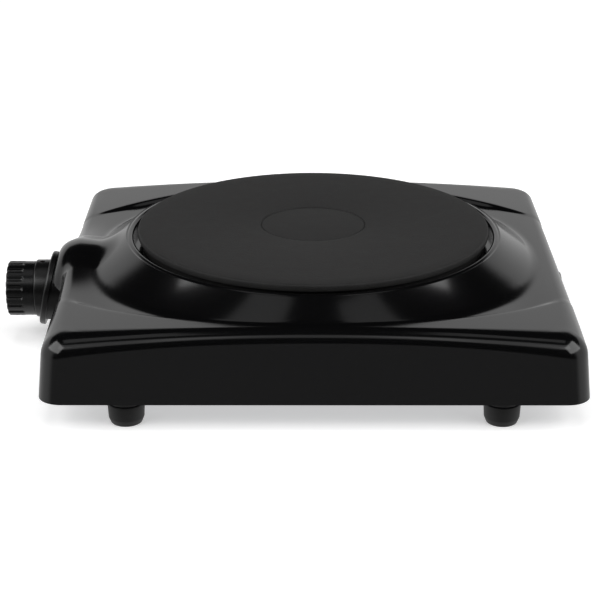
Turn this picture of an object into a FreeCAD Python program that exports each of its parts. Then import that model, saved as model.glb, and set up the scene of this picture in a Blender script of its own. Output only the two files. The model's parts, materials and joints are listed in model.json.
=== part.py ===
"""Single electric hot plate: a pressed steel housing with one sealed cast iron plate.

The model stands on the floor plane, +Z up.  The control knob faces -Y, the cord gland +Y.
Everything is drawn about the vertical axis of the plate and then shifted along Y, so that the
origin lies under the middle of the whole appliance.
"""

import FreeCAD, Part
import math
import os
import re

import Sketcher
from FreeCAD import Placement, Rotation, Vector

# Driving dimensions, in millimetres and degrees.
SIZES = {
    # housing
    "body_width": 246.0,          # along X, at the foot of the skirt
    "body_length": 263.0,         # along Y, at the foot of the skirt
    "overall_height": 63.0,       # floor to the top of the plate
    "floor_gap": 14.0,            # floor to the foot of the skirt
    "sheet": 1.0,                 # housing and base sheet
    "draft": 4.9,                 # lean of the skirt
    "corner_radius": 12.0,        # upright corners
    "edge_radius": 7.0,           # top edge
    "crown_sag": 5.76,            # the top is bowed along Y by this much at its ends
    "wing_drop": 12.6,            # plate top down to the raised wings
    "wing_step": 2.3,             # wings above the middle zone
    "wing_inset": 1.5,            # middle zone side walls stand back from the wings
    "wing_arc_radius": 194.0,     # inner edge of a wing, in plan
    "wing_reach": 109.5,          # plate axis to the middle of that edge
    # ring round the plate
    "plate_rise": 3.5,            # plate top above the ring lip
    "plate_gap": 1.5,             # slot between plate and ring
    "lip_width": 3.0,             # flat lip of the ring
    "knee_reach": 10.5,           # opening edge to the foot of the steep slope
    "knee_drop": 8.2,
    "foot_reach": 19.5,           # opening edge to the foot of the flare
    "foot_drop": 13.0,
    # plate and heater
    "plate_diameter": 185.0,
    "plate_depth": 16.0,
    "rim_depth": 9.0,
    "ledge_width": 7.5,           # bearing of the rim on the housing
    "seat_clearance": 1.0,
    "dimple_radius": 27.5,        # shallow round recess in the middle of the plate
    "dimple_depth": 0.4,
    "coil_inset": 26.5,           # plate edge to the outer heating coil
    "coil_spacing": 26.0,
    "coil_tube": 3.0,
    "groove_half_width": 7.0,
    "groove_depth": 9.0,
    "pin_x": 11.0,                # heater pins left and right of the middle line
    "pin_radius": 1.2,
    "stud_radius": 3.0,
    "strip": 1.5,                 # clamp bridge
    "bridge_width": 24.0,
    "bridge_drop": 7.5,           # plate underside down to the bridge
    "shield_inset": 14.5,
    "shield_sheet": 0.8,
    # knob, bezel and control
    "knob_height": 26.5,          # floor to the knob axis
    "knob_diameter": 28.8,
    "knob_length": 16.5,
    "knob_gap": 0.5,              # knob to bezel collar
    "flute_depth": 1.0,
    "flute_length": 10.0,
    "mouth_stand": 7.2,           # skirt foot out to the bezel seat, on the knob axis
    "bezel_tilt": 11.7,
    "flange_diameter": 39.5,
    "flange_sheet": 3.3,
    "collar_diameter": 30.5,
    "collar_stand": 8.3,
    "neck_diameter": 37.0,
    "cap_radius": 26.5,           # half-round hood over the bezel
    "cap_drop": 1.9,              # knob axis down to the axis of the hood
    "hood_lift": 9.0,             # knob axis up to the lower edge of the hood
    "shaft_radius": 3.0,
    "bush_radius": 5.0,
    "running_clearance": 0.05,
    "bracket_inset": 10.3,        # skirt foot in to the front of the control bracket
    "bracket_width": 36.0,
    "bracket_sheet": 1.2,
    "control_gap": 0.1,           # setting pin to contact leaf
    "leaf_sheet": 0.4,
    "lamp_radius": 2.2,
    "lens_radius": 1.7,
    # feet, base and supply
    "foot_x": 110.0,
    "foot_y": 90.0,
    "foot_radius": 9.0,
    "foot_cone": 10.4,
    "foot_bore": 6.5,             # depth of the screw pocket
    "screw_radius": 2.0,
    "base_lift": 1.0,             # base sheet above the foot of the skirt
    "base_rim": 3.0,
    "base_clearance": 0.5,
    "bracket_tab": 2.0,
    "cord_radius": 3.5,
    "gland_radius": 7.0,
    "gland_height": 27.5,
    "gland_lip": 3.0,
    "lead_radius": 1.3,
    "fit_clearance": 0.1,
    "pilot_screw": 1.6,           # small self-tapping screws
    "pin_bore": 1.5,              # bore for the setting pin
    "rivet_radius": 1.2,
    "cover_sheet": 0.8,
    "link_sheet": 1.2,
    "nut_height": 5.0,
    "cutout_x": 48.0,
    "terminal_inset": 27.0,       # terminal block in from the rear wall
    "earth_x": 40.0,
}

# Places and sizes that follow from the driving dimensions.
PLACES = {
    "plate_radius": "plate_diameter / 2",
    "lip_z": "overall_height - plate_rise",
    "wing_z": "overall_height - wing_drop",
    "middle_z": "wing_z - wing_step",
    "opening_radius": "plate_radius + plate_gap",
    "rim_z": "overall_height - rim_depth",
    "plate_z": "overall_height - plate_depth",
    "ledge_radius": "opening_radius - ledge_width",
    "core_radius": "ledge_radius - seat_clearance",
    "bridge_z": "plate_z - bridge_drop",
    "shield_z": "bridge_z - strip - shield_sheet",
    "coil_z": "plate_z + groove_depth / 2",
    "coil_outer_radius": "plate_radius - coil_inset",
    "coil_inner_radius": "coil_outer_radius - coil_spacing",
    "shield_radius": "plate_radius - shield_inset",
    "crown_radius": "((body_length / 2) ^ 2 + crown_sag ^ 2) / (2 * crown_sag)",
    "mouth_reach": "body_length / 2 + mouth_stand",
    "collar_reach": "mouth_reach + collar_stand",
    "bracket_reach": "body_length / 2 - bracket_inset",
    "cap_height": "knob_height - cap_drop",
    "hood_foot": "knob_height + hood_lift",
    "arc_centre": "wing_arc_radius - wing_reach",
    "base_z": "floor_gap + base_lift",
    "deck_z": "base_z + sheet",
    "knob_radius": "knob_diameter / 2",
    "knob_reach": "collar_reach + knob_gap + knob_length",
    "neck_radius": "neck_diameter / 2",
    "collar_radius": "collar_diameter / 2",
    "rear_wall": "body_length / 2 - wing_inset - (gland_height - floor_gap) * tan(draft)",
    "gland_flange": "gland_radius + 2",
    "gland_reach": "rear_wall + gland_lip * cos(draft) + gland_flange * sin(draft)",
    "rear_reach": "max(body_length / 2; gland_reach)",
    "axis_y": "(knob_reach - rear_reach) / 2",
    "bracket_back": "bracket_sheet - bracket_reach",
    "block_front": "bracket_back + 3",
    "block_back": "block_front + 10",
    "leaf_y": "block_back + 3",
    "leaf_root_z": "knob_height - 3.9",
    "lens_y": "-collar_reach + 3.5",
    "block_z": "plate_z - cover_sheet - 5",
    "link_end": "-coil_outer_radius - 18",
    "stud_end": "shield_z - strip - nut_height - 2",
    "terminal_y": "rear_wall - terminal_inset",
    "earth_y": "terminal_y - 26",
}

NODES = []

document = FreeCAD.newDocument("hot_plate")
sheet = document.addObject("Spreadsheet::Sheet", "sizes")


def fill_sheet():
    """Write every driving dimension into its own named cell."""
    for row, (name, value) in enumerate(SIZES.items(), start=1):
        sheet.set(f"A{row}", name)
        sheet.set(f"B{row}", str(value))
        sheet.setAlias(f"B{row}", name)
    document.recompute()


def formula(text):
    """Turn a size written in plain names into an expression on the sheet's cells."""
    def swap(match):
        name = match.group(0)
        if name in PLACES:
            return "(" + formula(PLACES[name]) + ")"
        if name in SIZES:
            return "sizes." + name
        return name
    return re.sub(r"[a-z][a-z_]*[a-z]", swap, str(text))


def measure(text):
    """The present value of a formula."""
    return float(sheet.evalExpression(formula(text)))


def bind(thing, **sizes):
    """Bind properties of an object to formulas."""
    for name, text in sizes.items():
        thing.setExpression(name, formula(text))


def place(thing, x=0, y=0, z=0, turn_axis=None, turn="0"):
    """Bind an object's place, and turn it about an axis if one is given."""
    if turn_axis is not None:
        thing.Placement = Placement(Vector(), Rotation(turn_axis, measure(turn)))
        thing.setExpression("Placement.Rotation.Angle", formula(turn))
    for axis, text in zip("xyz", (x, y, z)):
        thing.setExpression(f"Placement.Base.{axis}", formula(text))
    return thing


def node(thing, label):
    """Name a finished sub-part and shift it from the plate's axis to the model's origin."""
    document.recompute()
    known = dict(thing.ExpressionEngine)
    bound = known.get("Placement.Base.y", known.get(".Placement.Base.y", "0"))
    thing.setExpression("Placement.Base.y", f"({bound}) + {formula('axis_y')}")
    thing.Label = label
    NODES.append(thing)


def shaped_node(shape, label):
    """A sub-part whose shape is worked out in code from the sheet's values."""
    thing = document.addObject("Part::Feature", label)
    thing.Shape = shape
    thing.Placement = Placement(Vector(0, measure("axis_y"), 0), Rotation())
    thing.Label = label
    NODES.append(thing)


# ---------------------------------------------------------------- simple solids

TURNS = {"x": (Vector(0, 1, 0), "90"), "y": (Vector(1, 0, 0), "-90")}


def cylinder(radius, length, x=0, y=0, z=0, along="z"):
    """A cylinder that starts at the given point and runs along an axis."""
    thing = document.addObject("Part::Cylinder", "cylinder")
    bind(thing, Radius=radius, Height=length)
    axis, turn = TURNS.get(along, (None, "0"))
    return place(thing, x, y, z, axis, turn)


def leaning_disc(radius, length, y, z, lean):
    """A disc whose axis lies in the YZ plane: lean is the turn about X from upright."""
    thing = document.addObject("Part::Cylinder", "disc")
    bind(thing, Radius=radius, Height=length)
    return place(thing, 0, y, z, Vector(1, 0, 0), lean)


def box(width, length, height, x=0, y=0, z=0):
    """A box centred on x and y that stands on z."""
    thing = document.addObject("Part::Box", "box")
    bind(thing, Width=length, Length=width, Height=height)
    return place(thing, f"({x}) - ({width}) / 2", f"({y}) - ({length}) / 2", z)


def slab(width, y_from, y_to, z_from, z_to, x=0):
    """A box centred on x and given by its limits in y and z."""
    thing = document.addObject("Part::Box", "slab")
    bind(thing, Length=width, Width=f"({y_to}) - ({y_from})", Height=f"({z_to}) - ({z_from})")
    return place(thing, f"({x}) - ({width}) / 2", y_from, z_from)


def hexagon(radius, length, x=0, y=0, z=0, along="z"):
    """A hexagonal prism across its corners."""
    thing = document.addObject("Part::Prism", "hexagon")
    thing.Polygon = 6
    bind(thing, Circumradius=radius, Height=length)
    axis, turn = TURNS.get(along, (None, "0"))
    return place(thing, x, y, z, axis, turn)


def fuse(*things):
    """Join solids."""
    joined = document.addObject("Part::MultiFuse", "joined")
    joined.Shapes = list(things)
    return joined


def cut(base, *tools):
    """Take solids away from a base."""
    made = document.addObject("Part::Cut", "cut")
    made.Base = base
    made.Tool = tools[0] if len(tools) == 1 else fuse(*tools)
    return made


def common(first, second):
    """What two solids share."""
    made = document.addObject("Part::Common", "common")
    made.Base = first
    made.Tool = second
    return made


def group(*things):
    """Separate solids kept in one node."""
    made = document.addObject("Part::Compound", "group")
    made.Links = list(things)
    return made


# ---------------------------------------------------------------- sketched bodies

def new_body(name):
    return document.addObject("PartDesign::Body", name)


def own_plane(body, role):
    """One of the body's own origin planes."""
    for feature in body.Origin.OriginFeatures:
        if feature.Role == role:
            return feature
    raise ValueError(role)


def outline(body, role, points):
    """A closed polygon whose every corner is bound to a pair of formulas."""
    sketch = body.newObject("Sketcher::SketchObject", "outline")
    sketch.AttachmentSupport = [(own_plane(body, role), "")]
    sketch.MapMode = "FlatFace"
    corners = [Vector(measure(first), measure(second), 0) for first, second in points]
    count = len(points)
    for index in range(count):
        sketch.addGeometry(Part.LineSegment(corners[index], corners[(index + 1) % count]), False)
    for index in range(count):
        sketch.addConstraint(Sketcher.Constraint("Coincident", index, 2, (index + 1) % count, 1))
    for index, (first, second) in enumerate(points):
        for kind, text, value in (("DistanceX", first, corners[index].x),
                                  ("DistanceY", second, corners[index].y)):
            number = sketch.addConstraint(Sketcher.Constraint(kind, -1, 1, index, 1, value))
            name = f"{kind}{index}"
            sketch.renameConstraint(number, name)
            sketch.setExpression(f"Constraints.{name}", formula(text))
    return sketch


def turned(name, profile):
    """A body turned about Z from a profile of (radius, height) corners."""
    body = new_body(name)
    sketch = outline(body, "XZ_Plane", profile)
    turning = body.newObject("PartDesign::Revolution", "turning")
    turning.Profile = sketch
    turning.ReferenceAxis = (sketch, ["V_Axis"])
    turning.Angle = 360
    return body


def pressed(name, role, points, length, taper=None, midplane=False):
    """A body padded from a polygon."""
    body = new_body(name)
    pad = body.newObject("PartDesign::Pad", "pad")
    pad.Profile = outline(body, role, points)
    pad.setExpression("Length", formula(length))
    if taper is not None:
        pad.setExpression("TaperAngle", formula(taper))
    if midplane:
        pad.SideType = "Symmetric"
    document.recompute()
    return body


def round_edges(body, radius, wanted):
    """Fillet the edges of a body's tip that a test picks out."""
    tip = body.Tip
    names = [f"Edge{index}" for index, edge in enumerate(tip.Shape.Edges, start=1) if wanted(edge)]
    fillet = body.newObject("PartDesign::Fillet", "rounding")
    fillet.Base = (tip, names)
    fillet.setExpression("Radius", formula(radius))
    document.recompute()
    return body


def stands_up(edge):
    """True for an edge that rises from corner to corner."""
    return edge.BoundBox.ZLength > max(edge.BoundBox.XLength, edge.BoundBox.YLength)


def half_rectangle(width, length):
    """The corners of a rectangle centred on the origin."""
    return [(f"{sx} * ({width}) / 2", f"{sy} * ({length}) / 2")
            for sx, sy in ((-1, -1), (1, -1), (1, 1), (-1, 1))]


def rounded_block(name, width, length, height, radius, z):
    """An upright block with rounded corners that stands on z."""
    body = pressed(name, "XY_Plane", half_rectangle(width, length), height)
    round_edges(body, radius, stands_up)
    return place(body, z=z)


# ---------------------------------------------------------------- housing

def bow_pocket(body, top):
    """Bow the top of a form: take away what lies above an arc drawn in the YZ plane."""
    half = "(body_length / 2 + 20)"
    sag = f"(crown_radius - sqrt(crown_radius ^ 2 - {half} ^ 2))"
    sketch = body.newObject("Sketcher::SketchObject", "bow")
    sketch.AttachmentSupport = [(own_plane(body, "YZ_Plane"), "")]
    sketch.MapMode = "FlatFace"
    edge = measure(half)
    high = measure("overall_height + 40")
    low = measure(f"{top} - {sag}")
    crest = Vector(0, measure(top), 0)
    sketch.addGeometry(Part.Arc(Vector(edge, low, 0), crest, Vector(-edge, low, 0)), False)
    corners = [Vector(-edge, low, 0), Vector(-edge, high, 0), Vector(edge, high, 0),
               Vector(edge, low, 0)]
    for start, end in zip(corners, corners[1:]):
        sketch.addGeometry(Part.LineSegment(start, end), False)
    for first, second in ((0, 1), (1, 2), (2, 3)):
        sketch.addConstraint(Sketcher.Constraint("Coincident", first, 2, second, 1))
    sketch.addConstraint(Sketcher.Constraint("Coincident", 3, 2, 0, 1))
    for name, kind, geometry, text in (
            ("left", "DistanceX", 1, f"-{half}"), ("leftlow", "DistanceY", 1, f"{top} - {sag}"),
            ("lefttop", "DistanceX", 2, f"-{half}"), ("top", "DistanceY", 2, "overall_height + 40"),
            ("righttop", "DistanceX", 3, half), ("topright", "DistanceY", 3, "overall_height + 40"),
            ("right", "DistanceX", 0, half), ("rightlow", "DistanceY", 0, f"{top} - {sag}")):
        value = measure(text)
        number = sketch.addConstraint(Sketcher.Constraint(kind, -1, 1, geometry, 1, value))
        sketch.renameConstraint(number, name)
        sketch.setExpression(f"Constraints.{name}", formula(text))
    number = sketch.addConstraint(Sketcher.Constraint("Radius", 0, measure("crown_radius")))
    sketch.renameConstraint(number, "crown")
    sketch.setExpression("Constraints.crown", formula("crown_radius"))
    pocket = body.newObject("PartDesign::Pocket", "bowed_top")
    pocket.Profile = sketch
    pocket.Type = "ThroughAll"
    pocket.SideType = "Symmetric"
    document.recompute()


def leaning_form(name, width, length, top, inset):
    """A tapered block with rounded corners, a bowed top and a rounded top edge.

    inset is how far the form stands inside the outer skin: nothing or one sheet."""
    width = f"({width}) - 2 * ({inset})"
    length = f"({length}) - 2 * ({inset})"
    body = pressed(name, "XY_Plane", half_rectangle(width, length), "overall_height", "-draft")
    bow_pocket(body, f"({top} - floor_gap - ({inset}))")
    round_edges(body, f"corner_radius - ({inset})", stands_up)
    foot = 1.0
    round_edges(body, f"edge_radius - ({inset})",
                lambda edge: edge.BoundBox.ZMin > foot and not stands_up(edge))
    return place(body, z="floor_gap")


def middle_lens(grow):
    """The zone between the two wings: what two large discs share."""
    discs = [cylinder(f"wing_arc_radius + ({grow})", "2 * overall_height", x=f"{side} * arc_centre")
             for side in (-1, 1)]
    return common(*discs)


def ring_form(name, inset):
    """The round collar that rises from the top to the slot round the plate."""
    floor = "middle_z - 12"
    return turned(name, [
        ("0", floor),
        (f"opening_radius + foot_reach - ({inset})", floor),
        (f"opening_radius + foot_reach - ({inset})", f"lip_z - foot_drop - ({inset})"),
        (f"opening_radius + knee_reach - ({inset})", f"lip_z - knee_drop - ({inset})"),
        (f"opening_radius + lip_width - ({inset})", f"lip_z - ({inset})"),
        ("0", f"lip_z - ({inset})")])


def hood_form(inset):
    """The half-round hood over the bezel, ended by the leaning bezel seat."""
    barrel = cylinder(f"cap_radius - ({inset})", "60", y="-mouth_reach - 12", z="cap_height",
                      along="y")
    beyond = leaning_disc("3 * cap_radius", "40", f"({inset}) / cos(bezel_tilt) - mouth_reach",
                          "knob_height", "90 - bezel_tilt")
    below = slab("4 * cap_radius", "-mouth_reach - 40", "0", "-cap_radius", "hood_foot")
    return cut(barrel, beyond, below)


def housing_skin(prefix, inset, grow):
    """One skin of the housing as a full solid: middle zone, wings, ring and hood."""
    low = leaning_form(prefix + "_middle", "body_width", "body_length - 2 * wing_inset", "middle_z",
                       inset)
    high = leaning_form(prefix + "_wings", "body_width", "body_length", "wing_z", inset)
    wings = cut(high, middle_lens(grow))
    return fuse(low, wings, ring_form(prefix + "_ring", inset), hood_form(inset))


def bezel_arch(clearance, y_to):
    """The room that the bezel's neck takes: a round tunnel that is open below."""
    radius = f"neck_radius + {clearance}"
    tunnel = cylinder(radius, f"{y_to} + mouth_reach + 20", y="-mouth_reach - 20", z="knob_height",
                      along="y")
    return fuse(tunnel, slab(f"2 * ({radius})", "-mouth_reach - 20", y_to, "0", "knob_height"))


def make_housing():
    """The pressed and enamelled top housing, one sheet thick."""
    outer = housing_skin("outer", "0", "0")
    inner = housing_skin("inner", "sheet", "sheet")
    opening = cylinder("opening_radius", "60", z="lip_z - 30")
    gland_hole = cylinder("gland_radius + fit_clearance", "40", y="rear_wall - 20", z="gland_height",
                          along="y")
    skin = cut(outer, inner, opening, bezel_arch("0.5", "-bracket_reach"), gland_hole)
    collar = turned("collar", [
        ("opening_radius", "lip_z - sheet / 2"), ("opening_radius + sheet", "lip_z - sheet / 2"),
        ("opening_radius + sheet", "rim_z - sheet"), ("ledge_radius", "rim_z - sheet"),
        ("ledge_radius", "rim_z"), ("opening_radius", "rim_z")])
    node(fuse(skin, collar), "housing_shell")


def make_base_plate():
    """The vented bottom tray that closes the housing between its skirt walls."""
    shrink = "2 * (sheet + base_clearance + (base_lift + base_rim) * tan(draft))"
    width = f"(body_width - {shrink})"
    length = f"(body_length - 2 * wing_inset - {shrink})"
    tray = rounded_block("tray", width, length, "base_rim", "corner_radius - sheet", "base_z")
    hollow = rounded_block("tray_hollow", f"{width} - 2 * sheet", f"{length} - 2 * sheet",
                           "base_rim", "corner_radius - 2 * sheet", "deck_z")
    holes = [bezel_arch("0.5", "fit_clearance - bracket_reach")]
    for sx in (-1, 1):
        for sy in (-1, 1):
            holes.append(cylinder("screw_radius + fit_clearance", "10", f"{sx} * foot_x",
                                  f"{sy} * foot_y", "base_z - 2"))
        holes.append(cylinder("pilot_screw", "10", f"{sx} * 14", "bracket_back + 8", "base_z - 2"))
    holes.append(cylinder("pilot_screw", "10", "0", "terminal_y", "base_z - 2"))
    holes.append(cylinder("screw_radius", "10", "earth_x", "earth_y", "base_z - 2"))
    for column in (-1, 1):
        for row in range(-4, 5):
            holes.append(box("26", "4", "10", f"{column} * 30", f"{row} * 11", "base_z - 2"))
    node(cut(tray, hollow, *holes), "base_plate")


# ---------------------------------------------------------------- plate and heater

def make_hotplate():
    """The cast iron plate: rim, core with two coil grooves, stud hole and a shallow recess."""
    groove_top = "plate_z + groove_depth"
    inner_from = "coil_inner_radius - groove_half_width"
    inner_to = "coil_inner_radius + groove_half_width"
    outer_from = "coil_outer_radius - groove_half_width"
    outer_to = "coil_outer_radius + groove_half_width"
    node(turned("casting", [
        ("0", "overall_height - dimple_depth"), ("dimple_radius", "overall_height - dimple_depth"),
        ("dimple_radius + dimple_depth", "overall_height"), ("plate_radius - 1", "overall_height"),
        ("plate_radius", "overall_height - 1"), ("plate_radius", "rim_z"), ("core_radius", "rim_z"),
        ("core_radius", "plate_z"), (outer_to, "plate_z"), (outer_to, groove_top),
        (outer_from, groove_top), (outer_from, "plate_z"), (inner_to, "plate_z"),
        (inner_to, groove_top), (inner_from, groove_top), (inner_from, "plate_z"),
        ("stud_radius", "plate_z"), ("stud_radius", groove_top), ("0", groove_top)]), "hotplate")


def coil(radius, tube):
    """A heating tube bent into an open ring, with its gap towards the control."""
    gap = f"(asin(pin_x / {radius}) / 1deg - 3)"
    thing = document.addObject("Part::Torus", "coil")
    bind(thing, Radius1=radius, Radius2=tube, Angle3=f"360 - 2 * {gap}")
    return place(thing, z="coil_z", turn_axis=Vector(0, 0, 1), turn=f"{gap} - 90")


def pin_y(radius):
    """Where a heater pin lies along Y, on its coil's circle."""
    return f"-sqrt({radius} ^ 2 - pin_x ^ 2)"


def heater_pins(radius, z_from, z_to):
    """Four upright pins, two on each coil."""
    return [cylinder(radius, f"({z_to}) - ({z_from})", f"{side} * pin_x", pin_y(ring), z_from)
            for ring in ("coil_inner_radius", "coil_outer_radius") for side in (-1, 1)]


def make_heater():
    """Two coils bedded in cement under the plate, their pins, block and links."""
    for ring, label in (("coil_inner_radius", "heating_coil_inner"),
                        ("coil_outer_radius", "heating_coil_outer")):
        node(coil(ring, "coil_tube"), label)
    beds = []
    for ring in ("coil_inner_radius", "coil_outer_radius"):
        disc = cylinder(f"{ring} + groove_half_width", "groove_depth", z="plate_z")
        core = cylinder(f"{ring} - groove_half_width", "groove_depth", z="plate_z")
        beds.append(cut(disc, core, coil(ring, "coil_tube + running_clearance"),
                        *heater_pins("pin_radius + fit_clearance", "plate_z - 1", "coil_z")))
    node(group(*beds), "insulating_cement")
    cover = cylinder("core_radius - 2", "cover_sheet", z="plate_z - cover_sheet")
    node(cut(cover, cylinder("stud_radius + fit_clearance", "20", z="plate_z - 10"),
             *heater_pins("2 * pin_radius", "plate_z - 5", "plate_z + 5")), "cover_disc")
    pin_foot = "block_z - 3 * link_sheet"
    node(group(*heater_pins("pin_radius", pin_foot, "coil_z - coil_tube")), "heater_pins")
    block = slab("3 * pin_x", "-coil_outer_radius - 5", "8 - coil_inner_radius", "block_z",
                 "plate_z - cover_sheet")
    node(cut(block, *heater_pins("pin_radius + fit_clearance", "block_z - 1", "plate_z + 1")),
         "heater_terminal_block")
    links = []
    for side in (-1, 1):
        strip = slab("7", "link_end", "6 - coil_inner_radius", "block_z - link_sheet", "block_z",
                     x=f"{side} * pin_x")
        links.append(cut(strip, *heater_pins("pin_radius", "block_z - 5", "block_z + 1")))
    node(group(*links), "terminal_links")


def make_plate_fixing():
    """The stud, bridge, shield, washer and nut that pull the plate down on its ledge."""
    node(cylinder("stud_radius", "plate_z + groove_depth - stud_end", z="stud_end"), "centre_stud")
    tip_z = "rim_z - sheet"
    foot = "(ledge_radius + ledge_width - 2)"
    wall = "(ledge_radius + 0.3)"
    half = [(foot, tip_z), (foot, f"{tip_z} - strip"), (f"{wall} + strip", f"{tip_z} - strip"),
            (f"{wall} + strip", "bridge_z - strip")]
    inner = [(wall, "bridge_z"), (wall, tip_z)]
    left = [(f"-({x})", z) for x, z in reversed(half)]
    left_inner = [(f"-({x})", z) for x, z in reversed(inner)]
    bridge = pressed("bridge", "XZ_Plane", half + left + left_inner + inner, "bridge_width",
                     midplane=True)
    stud_hole = cylinder("stud_radius + fit_clearance", "20", z="bridge_z - 10")
    node(cut(bridge, stud_hole, *cutout_screw_holes()), "clamp_bridge")
    shield = cylinder("shield_radius", "shield_sheet", z="shield_z")
    bay = slab("4 * pin_x", "-shield_radius - 5", "12 - coil_inner_radius", "shield_z - 5",
               "shield_z + 5")
    stud_hole = cylinder("stud_radius + fit_clearance", "20", z="shield_z - 10")
    node(cut(shield, bay, stud_hole, *cutout_screw_holes()), "heat_shield")
    washer = cylinder("2.6 * stud_radius", "strip", z="shield_z - strip")
    node(cut(washer, cylinder("stud_radius + fit_clearance", "20", z="shield_z - 10")),
         "stud_washer")
    nut = hexagon("1.9 * stud_radius", "nut_height", z="shield_z - strip - nut_height")
    node(cut(nut, cylinder("stud_radius", "20", z="shield_z - 15")), "stud_nut")


# ---------------------------------------------------------------- knob, bezel and control

def make_knob():
    """A fluted knob with a hub for the shaft."""
    barrel = cylinder("knob_radius", "knob_length", y="-knob_reach", z="knob_height", along="y")
    recess = cylinder("knob_radius - 2", "knob_length - 3", y="3 - knob_reach", z="knob_height",
                      along="y")
    hub = cylinder("2 * shaft_radius", "knob_length - 3", y="3 - knob_reach", z="knob_height",
                   along="y")
    bore = cylinder("shaft_radius", "knob_length", y="5 - knob_reach", z="knob_height", along="y")
    flutes = []
    count = 18
    for index in range(count):
        angle = 360 * index / count
        reach = "(knob_radius + flute_depth / 2)"
        flutes.append(cylinder("1.5 * flute_depth", "flute_length + 5", f"{reach} * cos({angle})",
                               "-knob_reach - 5", f"knob_height + {reach} * sin({angle})", "y"))
    clip_room = slab("6", "6 - knob_reach", "15 - knob_reach", "knob_height + shaft_radius - 1",
                     "knob_height + shaft_radius - 0.4")
    node(cut(fuse(cut(barrel, recess), hub), bore, clip_room, *flutes), "knob")
    node(slab("5", "6.2 - knob_reach", "14 - knob_reach", "knob_height + shaft_radius - 1",
              "knob_height + shaft_radius - 0.5"), "knob_clip")


def make_shaft():
    """The control shaft with its flat for the knob."""
    end = "block_front + 4"
    rod = cylinder("shaft_radius", f"{end} + knob_reach - 5.5", y="5.5 - knob_reach",
                   z="knob_height", along="y")
    flat = slab("3 * shaft_radius", "-knob_reach", "15 - knob_reach",
                "knob_height + shaft_radius - 1", "knob_height + 2 * shaft_radius")
    node(cut(rod, flat), "control_shaft")


def make_bezel():
    """The moulded bezel: a neck in the hood's mouth, a leaning flange and a level collar."""
    lean = "90 - bezel_tilt"
    flange = leaning_disc("flange_diameter / 2", "flange_sheet", "-mouth_reach", "knob_height", lean)
    beyond = leaning_disc("2 * flange_diameter", "30", "-mouth_reach - flange_sheet / 2",
                          "knob_height", lean)
    neck = cylinder("neck_radius", "mouth_reach + 6 - bracket_reach", y="-mouth_reach - 6",
                    z="knob_height", along="y")
    neck_foot = slab("2 * neck_diameter", "-mouth_reach - 20", "-mouth_reach + 30", "0", "floor_gap")
    collar = cylinder("collar_radius", "collar_reach - mouth_reach + 4", y="-collar_reach",
                      z="knob_height", along="y")
    cavity = cylinder("collar_radius - 2.2", "collar_reach - bracket_reach", y="2.5 - collar_reach",
                      z="knob_height", along="y")
    shaft_hole = cylinder("shaft_radius + 0.6", "20", y="-collar_reach - 5", z="knob_height",
                          along="y")
    lens_hole = cylinder("lens_radius", "collar_radius", y="lens_y", z="knob_height + 5")
    made = cut(fuse(flange, cut(neck, beyond, neck_foot), collar), cavity, shaft_hole, lens_hole)
    node(made, "control_bezel")
    lens_foot = "collar_radius - 2.7"
    node(cylinder("lens_radius", "3", y="lens_y", z=f"knob_height + {lens_foot}"), "pilot_lens")
    node(cylinder("lamp_radius", "9", y="2.6 - collar_reach",
                  z=f"knob_height + {lens_foot} - lamp_radius", along="y"), "pilot_lamp")


def make_bracket():
    """The bent bracket that carries the control, with its screws."""
    wall = slab("bracket_width", "-bracket_reach", "bracket_back", "deck_z", "knob_height + 14")
    foot = slab("bracket_width", "bracket_back", "bracket_back + 14", "deck_z",
                "deck_z + bracket_sheet")
    holes = [cylinder("bush_radius", "10", y="-bracket_reach - 5", z="knob_height", along="y"),
             slab("8", "-bracket_reach - 5", "bracket_back + 1", "knob_height + 8.5",
                  "knob_height + 12")]
    screws = []
    for side in (-1, 1):
        holes.append(cylinder("pilot_screw", "10", f"{side} * 14", "bracket_back + 8", "deck_z - 1"))
        screws.append(screw("pilot_screw", f"{side} * 14", "bracket_back + 8",
                            "deck_z + bracket_sheet", "base_z - 3"))
    node(cut(fuse(wall, foot), *holes), "control_bracket")
    node(group(*screws), "bracket_screws")


def screw(radius, x, y, seat, tip):
    """A pan head screw driven down: seat is the underside of its head."""
    head = cylinder(f"2 * {radius}", f"1.2 * {radius}", x, y, seat)
    return fuse(head, cylinder(radius, f"({seat}) - ({tip})", x, y, tip))


def make_bush():
    """The threaded bush that guides the shaft, and its nut in front of the bracket."""
    tube = cylinder("bush_radius", "block_front + bracket_reach + 4", y="-bracket_reach - 4",
                    z="knob_height", along="y")
    shoulder = cylinder("1.6 * bush_radius", "block_front - bracket_back", y="bracket_back",
                        z="knob_height", along="y")
    bore = cylinder("shaft_radius + running_clearance", "30", y="-bracket_reach - 10",
                    z="knob_height", along="y")
    node(cut(fuse(tube, shoulder), bore), "control_bush")
    nut = hexagon("1.7 * bush_radius", "2.5", y="-bracket_reach - 2.5", z="knob_height", along="y")
    node(cut(nut, cylinder("bush_radius", "20", y="-bracket_reach - 10", z="knob_height",
                           along="y")), "bush_nut")


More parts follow.
